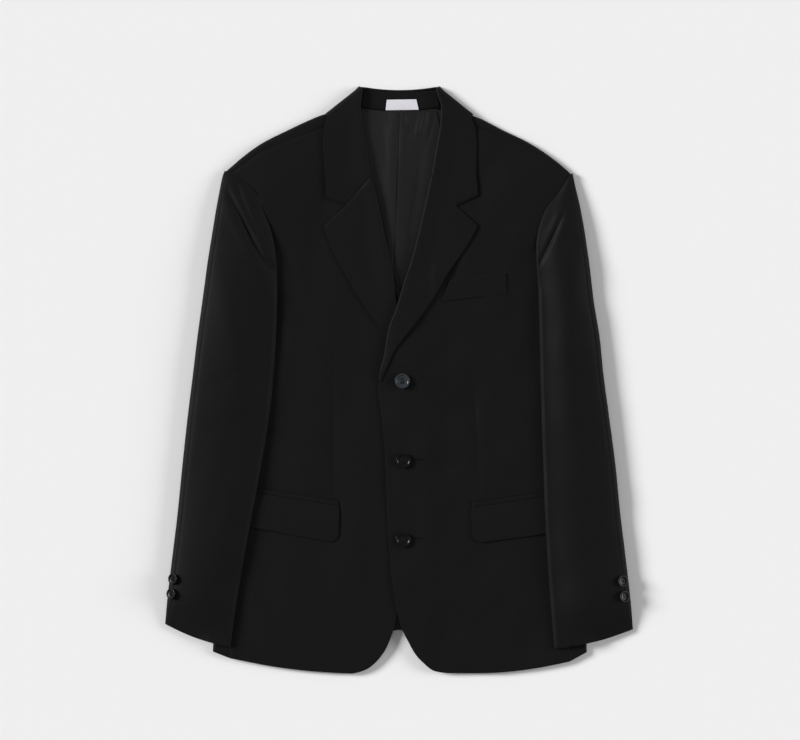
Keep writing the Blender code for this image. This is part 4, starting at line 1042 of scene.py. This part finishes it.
def collar_round(side, last):
    """Rows that turn about the slanting edge from face up to face down."""
    fold, end = (np.array(point) for point in COLLAR_TURN[side])
    along_edge = (end - fold) / np.linalg.norm(end - fold)
    out = np.array([along_edge[1], -along_edge[0]])
    out *= np.sign(out[1])
    length = float(np.linalg.norm(end - fold))
    roll_end = LEG_POINTS + ROLL_POINTS - 1
    level_from, level_share, level_reach = LEVEL_FOLD
    first_radius = COLLAR_SECTIONS[side][-1][4]
    rows = []
    for angle in np.linspace(*ROUND, 17):
        turn = math.radians(angle)
        radius = first_radius + (FALL_RADIUS - first_radius) * angle / 180.0
        # Offsets along the edge and depths inside the turn, as across a turned row.
        profile = []
        for share in np.linspace(1.0, 0.0, LEG_POINTS):
            profile.append((CLOTH / 2 + radius + COLLAR_LEG * share, 2 * radius))
        for cosine, sine in arc(-90.0, 90.0, ROLL_POINTS + 1)[1:]:
            profile.append((CLOTH / 2 + radius - radius * cosine, radius - radius * sine))
        for part in shares(FALL_POINTS + 1)[1:]:
            profile.append((CLOTH / 2 + radius + (length - CLOTH / 2 - radius) * part, 0.0))
        row = []
        for j, (offset, depth) in enumerate(profile):
            high = last[max(j, roll_end)][2]
            wide = (high - FLOOR) / 2
            middle = fold + along_edge * offset - out * (wide + CLOTH / 2)
            # Near the fold the turn runs on level into the fold across the back.
            near_fold = math.exp(-((offset / level_reach) ** 2))
            level = wide * level_share * ease(level_from, ROUND[1], angle) * near_fold
            at = middle + out * ((wide - depth) * math.sin(turn) + level)
            row.append((*at, (high + FLOOR) / 2 + (wide - depth) * math.cos(turn)))
        rows.append(row)
    return rows


def collar_back():
    """The collar's rows beneath the back, fold first."""
    rows = []
    high = FLOOR + 2 * FALL_RADIUS
    for share in shares(60):
        rise = (2 * share - 1) ** 2
        roll = np.array([BACK_FOLD[0] + BACK_FOLD[1] * share,
                         COLLAR_TOP - CLOTH / 2 + FOLD_RISE * rise])
        edge = np.array([BACK_EDGE[0] + BACK_EDGE[1] * share, COLLAR_FALL + FALL_BOW * rise])
        out = (edge - roll) / np.linalg.norm(edge - roll)
        centre = roll + out * FALL_RADIUS
        row = []
        for part in np.linspace(1.0, 0.0, LEG_POINTS):
            row.append((*(centre + out * COLLAR_LEG * part), high))
        for cosine, sine in arc(90.0, -90.0, ROLL_POINTS + 1)[1:]:
            row.append((*(centre - out * FALL_RADIUS * cosine), FLOOR + FALL_RADIUS * (1.0 + sine)))
        for part in shares(FALL_POINTS + 1)[1:]:
            row.append((*(centre + (edge - centre) * part), FLOOR))
        rows.append(row)
    return rows


def make_collar():
    """The fall: over each shoulder from its notch, round to the back, and across beneath it."""
    right, left = collar_front(RIGHT), collar_front(LEFT)
    grid = right + collar_round(RIGHT, right[-1]) + collar_back()
    grid += collar_round(LEFT, left[-1])[::-1] + left[::-1]
    grid = creased(np.array(grid), True, COLLAR_CREASES, wave=0.12, seed=31)
    grid = sunk(grid, True, ("first row", "last row"), reach=2.0)
    return cloth("collar", grid, True, CLOTH, worsted)


def make_stand():
    """The collar's stand, inside the neck between the fold and the neck seam."""
    upper = COLLAR_TOP - CLOTH / 2 - FALL_RADIUS - COLLAR_LEG - BUTTED
    grid = []
    for share in np.linspace(1.0, 0.0, 14):
        row = []
        for x in np.linspace(-1.0, 1.0, 50):
            high_x, low_x = (end * abs(x) for end in STAND_ENDS[LEFT if x > 0.0 else RIGHT])
            high_y = upper + FOLD_RISE * x * x * STAND_BOW
            low_y = read_off(NECK, 1, abs(low_x)) + CLOTH / 2 + NECK_SEAM + BUTTED
            row.append((high_x * share + low_x * (1 - share), high_y * share + low_y * (1 - share),
                        STAND_LEVEL))
        grid.append(row)
    grid = sunk(np.array(grid), True, ("first row", "last row"), depth=0.4, reach=1.6)
    return cloth("collar_stand", grid, True, CLOTH, worsted)


def lining_level(y, beside):
    """The middle of the lining, this far beside its centre seam."""
    under = FLOOR + (STAND_LEVEL - FLOOR) * ease(*LINING_RISE, y)
    pleat = LINING_RIDGE[0] * ease(*PLEAT_OPENS, y) * np.exp(-((beside / LINING_RIDGE[1]) ** 2))
    return under + pleat + CLOTH / 2 + SATIN / 2 + GAP + LINING_CLEAR


def make_lining(side):
    """Half the back lining that shows in the neck, as far as it reaches under the fronts."""
    grid = []
    for y in np.linspace(*LINING_SPAN, 130):
        seam = read_off(PLEAT, 1, y) + side * BUTTED / 2
        reach = side * read_off(LINING_REACH, 1, y)
        x = np.linspace(seam, reach, 34)
        grid.append(np.stack([x, np.full_like(x, y), lining_level(y, x - seam)], axis=1))
    grid = creased(np.array(grid), side == LEFT, LINING_CREASES[side], wave=0.2, seed=41 + side)
    grid = sunk(grid, side == LEFT, ("first column",), depth=0.3, reach=2.2)
    return cloth(f"lining_{SIDE_NAME[side]}", grid, side == LEFT, SATIN, satin)


# Sleeves.

CUFF_BOWS = (-340.0, -270.0)  # y over which a sleeve's sections start to bow with the cuff
HEAD_LIFT = 1.4  # rise of the inner fold below which it belongs to the sleeve's head
HEAD_SEATED = 0.5  # and below which that is sunk into the armhole's seam in full
SOFT_CREST = 5.0  # how softly the sleeve's crown passes into what holds it up, in mm squared
TURN_OUT_SHARE = 0.4  # the most of a sleeve's width that turns in at its outer edge
UNDER_TOP = 245.0  # y of the under sleeve's upper end
AT_ARMHOLE = (UNDERARM + 8.0, UNDERARM + 40.0)  # y over which it leaves the fold for the armhole


def sleeve_frames(side, count):
    """The sections of a sleeve: its ends, the direction across it and its sizes."""
    for row in smooth_rows(SLEEVE_SECTIONS[side], count):
        outer, inner = row[:2], row[2:4]
        across = (outer - inner) / np.linalg.norm(outer - inner)
        yield outer, inner, across, row[4], row[5], row[6]


def bowed(point, outer, inner):
    """A point across a sleeve, moved along it as the cuff's edge bows."""
    run = inner - outer
    share = float(np.clip(np.dot(point - outer, run) / np.dot(run, run), 0.0, 1.0))
    down = np.array([run[1], -run[0]]) / np.linalg.norm(run)
    down *= -np.sign(down[1])
    near_cuff = 1.0 - ease(*CUFF_BOWS, (outer[1] + inner[1]) / 2)
    return point + down * CUFF_BOW * near_cuff * math.sin(math.pi * share)


def turn_in(inner, lift):
    """How far the top sleeve turns in beneath the arm."""
    below_underarm = 1.0 - ease(UNDERARM, UNDERARM + 30.0, inner[1])
    more = (SLEEVE_TURN_IN - HEAD_TURN_IN) * below_underarm
    return HEAD_TURN_IN + more * ease(HEAD_LIFT, SLEEVE, lift)


def make_top_sleeve(side):
    """The top sleeve, turned in beneath the arm along both its edges."""
    grid = []
    for outer, inner, across, lift, radius, loft in sleeve_frames(side, 230):
        settled = HEAD_SETTLE * (1.0 - ease(HEAD_SEATED, SLEEVE, lift))
        low = arm_on_body(*inner) - SLEEVE + lift - settled
        centre = inner + across * (CLOTH / 2 + INNER_FOLD)
        covered = ease(HEAD_LIFT, SLEEVE, lift)
        leg = turn_in(inner, lift)
        row = []
        for share in np.linspace(1.0, 0.0, 6)[:-1]:
            at = centre + across * leg * share
            row.append((*bowed(at, outer, inner), low * (1 - covered) + arm_on_body(*at) * covered))
        for cosine, sine in arc(-90.0, 90.0, 9):
            row.append((*(centre - across * INNER_FOLD * cosine), low + INNER_FOLD * (1.0 + sine)))
        end = outer - across * (CLOTH / 2 + radius)
        high_in, high_out = low + 2 * INNER_FOLD, FLOOR + 2 * radius
        length = float(np.linalg.norm(end - centre))
        for share in shares(56)[1:-1]:
            at = centre + across * length * share
            bulge = math.sin(math.pi * share) ** (INNER_BULGE[side] if share < 0.5 else OUTER_BULGE)
            crown = high_in + (high_out - high_in) * share + loft * bulge
            least = sleeve_base(side, *at) + CLOTH + MOUTH
            # The higher of the two, with a soft change from one to the other.
            height = (crown + least + math.sqrt((crown - least) ** 2 + SOFT_CREST)) / 2
            row.append((*bowed(at, outer, inner), height))
        for cosine, sine in arc(90.0, -90.0, 15):
            row.append((*(end + across * radius * cosine), FLOOR + radius + radius * sine))
        turn_out = min(SLEEVE_TURN_OUT, length * TURN_OUT_SHARE)
        for share in shares(5)[1:]:
            row.append((*bowed(end - across * turn_out * share, outer, inner), FLOOR))
        grid.append(row)
    grid = creased(np.array(grid), side == LEFT, SLEEVE_CREASES[side], wave=0.45, seed=51 + side)
    return cloth(f"top_sleeve_{SIDE_NAME[side]}", grid, side == LEFT, CLOTH, worsted, satin)


def make_under_sleeve(side):
    """The under sleeve, on the floor and over the body's side."""
    grid = []
    for outer, inner, across, lift, radius, _ in sleeve_frames(side, 150):
        if outer[1] > UNDER_TOP:
            continue
        length = float(np.linalg.norm(outer - inner))
        room = length - 2 * CLOTH - radius - INNER_FOLD
        turn_out = min(SLEEVE_TURN_OUT, room * TURN_OUT_SHARE)
        start = outer - across * (CLOTH / 2 + radius + turn_out + SEAM)
        low_end = inner + across * (CLOTH / 2 + INNER_FOLD + turn_in(inner, lift) + SEAM)
        level_y = max(inner[1], ARM_LEAVES[0])
        armhole_x = side_x(side, level_y) - side * read_off(ARMHOLE_BACK, 1, level_y)
        high_end = np.array([armhole_x + side * SEAM * 3.0, level_y])
        share = ease(*AT_ARMHOLE, inner[1])
        end = low_end * (1 - share) + high_end * share
        if abs(end[0]) < abs(low_end[0]):
            end = low_end
        row = []
        for part in shares(44):
            at = start + (end - start) * part
            row.append((*bowed(at, outer, inner), sleeve_base(side, *at)))
        grid.append(row)
    grid = np.array(grid)
    return cloth(f"under_sleeve_{SIDE_NAME[side]}", grid, side == LEFT, CLOTH, worsted, satin)


# Pockets and label.

FLAP_TUCK = 1.3  # how much lower a flap's upper edge lies, beneath its jet
CORNER_CROWD = 1.6  # power of the columns' spacing towards a rounded corner
CROWN_FADE = 0.3  # power with which a strip's crown fades to its ends
LABEL_CROWN = 0.25  # how far the label stands up in its middle


def make_strip(node, side, outline, thickness, rise, corner=0.0, tuck=0.0, shape=(60, 20)):
    """A strip on a front, given by its corners; its lower corner may be rounded.

    tuck is how much lower its upper edge lies, where it goes in under the strip above.
    """
    top_in, top_out, low_in, low_out = (np.array(point) for point in outline)
    columns, rows = shape
    u = shares(columns)[None, :] ** (CORNER_CROWD if corner else 1.0)
    v = shares(rows)[:, None]
    top = top_in + (top_out - top_in) * u[..., None]
    low = low_in + (low_out - low_in) * u[..., None]
    if corner:
        near = np.clip(1.0 - u * abs(low_out[0] - low_in[0]) / corner, 0.0, 1.0)
        lost = corner * (1 - np.sqrt(1 - near * near)) / np.abs(top[..., 1] - low[..., 1])
        low = low + (top - low) * lost[..., None]
    plan = top + (low - top) * v[..., None]
    crown = np.sin(math.pi * v) * np.sin(math.pi * np.clip(u, 0.02, 0.98)) ** CROWN_FADE
    lift = rise + STRIP_CROWN * crown - tuck * (1.0 - v) ** 4
    grid = np.dstack([plan, front_level(side, plan[..., 0], plan[..., 1]) + lift])
    return cloth(node, grid, side == LEFT, thickness, worsted)


def make_label():
    """A blank label on the stand, sewn down at its ends."""
    top_in, top_out, low_in, low_out = (np.array(point) for point in LABEL)
    u = shares(40)[None, :, None]
    v = shares(16)[:, None, None]
    plan = (top_in + (top_out - top_in) * u) * (1 - v) + (low_in + (low_out - low_in) * u) * v
    crown = LABEL_CROWN * np.sin(math.pi * u) * np.sin(math.pi * v)
    height = STAND_LEVEL + CLOTH / 2 + SATIN / 2 + GAP + crown
    grid = np.dstack([plan, height[..., 0]])
    return cloth("label", grid, True, SATIN, damask)


# Buttons and sewing.

# From a button's rim inwards: how far each ring goes in, in radii, and down, in thicknesses.
DISH = ((0.08, 0.0), (0.10, 0.0), (0.08, 0.22), (0.08, 0.14), (0.06, 0.04))
BACK_RING = 0.12  # of a button's back, in radii
RIM_ROUNDING = 0.13  # in thicknesses
THREAD_LEVEL = 0.62  # of the thread's bars on a button, in thicknesses
THREAD_TURN = (0.35, 0.25)  # how far a bar's end goes out and down as it turns into its hole
SHANK_LEAN = 0.05  # how far the thread goes out below that
BUTTON_CLEAR = 0.2  # of a front button's back above the cloth
THREAD_SIDES = 8  # of a run of thread's tube
RIM_ANGLE = 40.0  # of the edges on a button that are rounded, and that look sharp
LINING_SEAM = (370.0, 96.0)  # y of the upper and lower end of its stitches


def choose(*pieces):
    """In object mode, with only these pieces selected and the first of them active."""
    if bpy.context.object and bpy.context.object.mode == "EDIT":
        bpy.ops.object.mode_set(mode="OBJECT")
    bpy.ops.object.select_all(action="DESELECT")
    for piece in pieces:
        piece.select_set(True)
    if pieces:
        bpy.context.view_layer.objects.active = pieces[0]


def pick_faces(piece, wanted):
    """In edit mode, with only the faces selected whose centre and normal wanted() accepts."""
    bpy.ops.object.mode_set(mode="EDIT")
    bpy.ops.mesh.select_mode(type="FACE")
    bpy.ops.mesh.select_all(action="DESELECT")
    mesh = bmesh.from_edit_mesh(piece.data)
    for face in mesh.faces:
        face.select = wanted(face.calc_center_median() / MM, face.normal)
    bmesh.update_edit_mesh(piece.data)


def button_pattern(radius, thick):
    """A button with a raised rim, a dished face and four holes, at the origin, face up."""
    choose()
    bpy.ops.mesh.primitive_cylinder_add(vertices=64, radius=radius * MM, depth=thick * MM,
                                        location=(0.0, 0.0, thick / 2 * MM))
    button = bpy.context.object
    bpy.ops.object.transform_apply(location=True, rotation=False, scale=False)
    pick_faces(button, lambda centre, normal: normal.z > 0.9)
    # The rim rounds over and the face drops to a flat round dish.
    for inward, down in DISH:
        bpy.ops.mesh.inset(thickness=inward * radius * MM, depth=0.0)
        bpy.ops.transform.translate(value=(0.0, 0.0, -down * thick * MM))
    pick_faces(button, lambda centre, normal: normal.z < -0.9)
    bpy.ops.mesh.inset(thickness=BACK_RING * radius * MM, depth=0.0)
    bpy.ops.object.mode_set(mode="OBJECT")
    edge = button.modifiers.new("rounded rim", "BEVEL")
    edge.width = RIM_ROUNDING * thick * MM
    edge.segments = 3
    edge.limit_method = "ANGLE"
    edge.angle_limit = math.radians(RIM_ANGLE)
    bpy.ops.object.modifier_apply(modifier="rounded rim")
    for x, y in ((1, 1), (1, -1), (-1, 1), (-1, -1)):
        choose()
        beside, apart = np.array(HOLE_SPACING) * radius * MM
        bpy.ops.mesh.primitive_cylinder_add(vertices=20, radius=HOLE_SIZE * radius * MM,
                                            depth=4 * thick * MM,
                                            location=(x * beside, y * apart, 0.0))
        drill = bpy.context.object
        hole = button.modifiers.new("hole", "BOOLEAN")
        hole.object = drill
        hole.operation = "DIFFERENCE"
        hole.solver = "EXACT"
        choose(button)
        bpy.ops.object.modifier_apply(modifier="hole")
        bpy.data.objects.remove(drill, do_unlink=True)
    return button


def bar_pattern(radius, thick):
    """Two bars of thread over a button's holes, at the origin."""
    beside, apart = np.array(HOLE_SPACING) * radius
    bars = []
    for x in (-1, 1):
        choose()
        place = (x * beside * MM, 0.0, thick * THREAD_LEVEL * MM)
        bpy.ops.mesh.primitive_cylinder_add(vertices=16, radius=BUTTON_THREAD * MM, location=place,
                                            depth=2 * apart * MM, rotation=(math.pi / 2, 0.0, 0.0))
        bar = bpy.context.object
        bpy.ops.object.transform_apply(location=True, rotation=True, scale=False)
        for end in (-1, 1):
            pick_faces(bar, lambda centre, normal: normal.y * end > 0.9)
            # Each end turns down into its hole and on into the cloth, as the button's shank.
            for out, down in (THREAD_TURN, (SHANK_LEAN, SHANK)):
                bpy.ops.mesh.extrude_region_move(
                    TRANSFORM_OT_translate={"value": (0.0, end * out * MM, -down * MM)})
        bpy.ops.object.mode_set(mode="OBJECT")
        bars.append(bar)
    choose(*bars)
    bpy.ops.object.join()
    return bars[0]


def placed(pattern, name, matrix, material):
    """A copy of a pattern with its own mesh, put in its place."""
    mesh = pattern.data.copy()
    mesh.transform(matrix)
    mesh.materials.clear()
    mesh.materials.append(material)
    piece = put(name, mesh)
    choose(piece)
    bpy.ops.object.shade_smooth_by_angle(angle=math.radians(RIM_ANGLE))
    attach(piece, "root")
    return piece


def sew_on(size, places):
    """Buttons of one size and their threads, at places of (node, matrix, material)."""
    button, bars = button_pattern(*size), bar_pattern(*size)
    for node, matrix, material in places:
        piece = placed(button, f"{node}_turned", matrix, material)
        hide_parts(node)
        thread = placed(bars, f"{node}_thread", matrix, twist)
    for pattern in (button, bars):
        bpy.data.objects.remove(pattern, do_unlink=True)


def front_buttons():
    """The front buttons' places: each level, just clear of the front beneath it."""
    for i, (x, y) in enumerate(FRONT_BUTTONS):
        under = [front_level(LEFT, x + dx, y + dy) for dx in (-10, 0, 10) for dy in (-10, 0, 10)]
        at = np.array((x, y, max(under) + CLOTH / 2 + GAP + BUTTON_CLEAR)) - MIDDLE
        # The top button gets the resin copy with the painted reflection.
        yield (f"front_button_{i + 1}", Matrix.Translation(Vector(at) * MM),
               top_button_resin_painted_reflection if i == 0 else resin)


def cuff_buttons(side):
    """A cuff's buttons' places: tilted outwards on the sleeve's outer fold."""
    place = math.radians(CUFF_BUTTON_PLACE[side])
    frames = list(sleeve_frames(side, 200))
    for i, y in enumerate(CUFF_BUTTONS[side]):
        outer, _, across, _, radius, _ = min(frames, key=lambda frame: abs(frame[0][1] - y))
        end = outer - across * (CLOTH / 2 + radius)
        reach = radius + CLOTH / 2 + CUFF_BUTTON_CLEAR
        plan = end + across * reach * math.sin(place)
        at = np.array((*plan, FLOOR + radius + reach * math.cos(place))) - MIDDLE
        turn = Matrix.Rotation(math.atan2(across[1], across[0]), 4, "Z")
        turn = turn @ Matrix.Rotation(math.radians(CUFF_BUTTON_TILT[side]), 4, "Y")
        yield (f"cuff_button_{SIDE_NAME[side]}_{i + 1}",
               Matrix.Translation(Vector(at) * MM) @ turn, resin)


def twisted(name, path, radius, material, closed=True):
    """A run of thread along a path, as a round tube."""
    path = np.array(path, float) - MIDDLE
    count, around = len(path), THREAD_SIDES
    if closed:
        run = np.roll(path, -1, axis=0) - np.roll(path, 1, axis=0)
    else:
        run = np.gradient(path, axis=0)
    run /= np.linalg.norm(run, axis=1)[:, None]
    beside = np.cross(run, (0.0, 0.0, 1.0))
    beside /= np.linalg.norm(beside, axis=1)[:, None]
    above = np.cross(beside, run)
    angles = 2 * math.pi * np.arange(around)[:, None] / around
    ring = beside[:, None] * np.cos(angles) + above[:, None] * np.sin(angles)
    points = path[:, None] + radius * ring
    faces = []
    for i in range(count if closed else count - 1):
        for k in range(around):
            a, b = i * around, (i + 1) % count * around
            after = (k + 1) % around
            faces.append((a + k, b + k, b + after, a + after))
    if not closed:
        faces.append(tuple(range(around)))
        faces.append(tuple(range((count - 1) * around, count * around))[::-1])
    mesh = bpy.data.meshes.new(name)
    mesh.from_pydata((points.reshape(-1, 3) * MM).tolist(), [], faces)
    piece = put(name, mesh)
    mesh.materials.append(material)
    mesh.shade_smooth()
    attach(piece, "root")


def lining_seam_painted_shade():
    """The stitches of the lining's centre seam, at the foot of its pleat, in black twist that also
    paints the shade of the seam's groove.
    """
    y = np.linspace(*LINING_SEAM, 120)
    path = np.stack([read_off(PLEAT, 1, y), y, lining_level(y, 0.0) + STITCH_RISE], axis=1)
    twisted("lining_seam_painted_shade", path, SEAM_STITCH, twist, closed=False)


def jet_seam_shade_lines():
    """The machine stitches along both edges of a jet, drawn as dark twist: painted shade for the
    dark ditch beside the jet.
    """
    for side in (RIGHT, LEFT):
        top_in, top_out, low_in, low_out = (np.array(point) for point in JET_OUTLINE[side])
        for word, start, end in (("upper", top_in, top_out), ("lower", low_in, low_out)):
            plan = spaced([start, end], 40)
            path = [(x, y, front_level(side, x, y) + JET_SEAM_SHADE_LINE[1]) for x, y in plan]
            # Each line is a seam drawn dark as painted shade.
            name = f"pocket_jet_{SIDE_NAME[side]}_{word}_seam"
            twisted(name, path, JET_SEAM_SHADE_LINE[0], twist, closed=False)


def buttonholes():
    """Keyhole buttonholes worked in twist: two lips with an eyelet at the front's edge."""
    for i, (eyelet, end, y) in enumerate(BUTTONHOLES):
        path = []
        for cosine, sine in arc(330.0, 30.0, 22):
            path.append((eyelet + BUTTONHOLE_EYE * cosine, y + BUTTONHOLE_EYE * sine))
        slit = eyelet + EYE_TO_SLIT
        for x in np.linspace(slit, end, 30)[1:]:
            path.append((x, y - BUTTONHOLE_LIP))
        for across in np.linspace(-BUTTONHOLE_TACK, BUTTONHOLE_TACK, 7):
            path.append((end + TACK_BEYOND, y + across))
        for x in np.linspace(end, slit, 30)[:-1]:
            path.append((x, y + BUTTONHOLE_LIP))
        lips = [(*at, front_level(LEFT, *at) + CLOTH / 2 + TWIST_RISE) for at in path]
        twisted(f"buttonhole_{i + 1}", lips, TWIST, twist)


# Stage, light and camera.


def make_stage():
    """The paper that the blazer lies on, and its light."""
    paper, _ = new_finish("pale_seamless_paper", "#ededed", 0.9, Specular_IOR_Level=0.1)
    choose()
    bpy.ops.mesh.primitive_plane_add(size=FLOOR_WIDTH, location=(0.0, 0.0, FLOOR_LEVEL))
    floor = bpy.context.object
    floor.name = "studio_floor"
    floor.data.materials.append(paper)
    world = bpy.data.worlds.new("studio")
    world.use_nodes = True
    world.node_tree.nodes["Background"].inputs["Color"].default_value = (1.0, 1.0, 1.0, 1.0)
    world.node_tree.nodes["Background"].inputs["Strength"].default_value = WORLD_LIGHT
    bpy.context.scene.world = world
    for name, strength, spread, place in SOFTBOXES:
        light = bpy.data.lights.new(name, "SUN")
        light.energy = strength
        light.angle = math.radians(spread)
        lamp = put(name, light)
        lamp.location = place
        lamp.rotation_euler = (-Vector(place)).to_track_quat("-Z", "Y").to_euler()


def make_camera():
    """Straight down from above, with the garment placed in the frame as it lies."""
    lens = bpy.data.cameras.new("camera")
    lens.sensor_width = SENSOR
    lens.lens = SENSOR * (CAMERA_HEIGHT - IN_FOCUS) / FRAME_WIDTH
    lens.clip_end = FAR
    camera = put("camera", lens)
    camera.location = (FRAME_MIDDLE[0] * MM, FRAME_MIDDLE[1] * MM, CAMERA_HEIGHT)
    bpy.context.scene.camera = camera
    bpy.context.scene.view_settings.view_transform = "Standard"
    bpy.context.scene.view_settings.look = "None"


make_stage()
make_camera()
for wearer_side in (RIGHT, LEFT):
    make_back(wearer_side)
    make_side_panel(wearer_side)
    make_front(wearer_side)
    make_lapel(wearer_side)
    make_lining(wearer_side)
    make_top_sleeve(wearer_side)
    make_under_sleeve(wearer_side)
    word = SIDE_NAME[wearer_side]
    jet = make_strip(f"pocket_jet_{word}", wearer_side, JET_OUTLINE[wearer_side], TRIM, JET,
                     shape=(50, 8))
    make_strip(f"pocket_flap_{word}", wearer_side, FLAP_OUTLINE[wearer_side], CLOTH, FLAP,
               corner=FLAP_CORNER, tuck=FLAP_TUCK)
make_strip("breast_welt", LEFT, WELT_OUTLINE, TRIM, WELT, shape=(44, 20))
make_collar()
make_stand()
make_label()
sew_on(FRONT_BUTTON, front_buttons())
sew_on(CUFF_BUTTON, [*cuff_buttons(RIGHT), *cuff_buttons(LEFT)])
buttonholes()
# Painted shade: dark seam lines along the jets' edges.
jet_seam_shade_lines()
# The lining's centre seam, drawn dark: painted shade of its groove.
lining_seam_painted_shade()
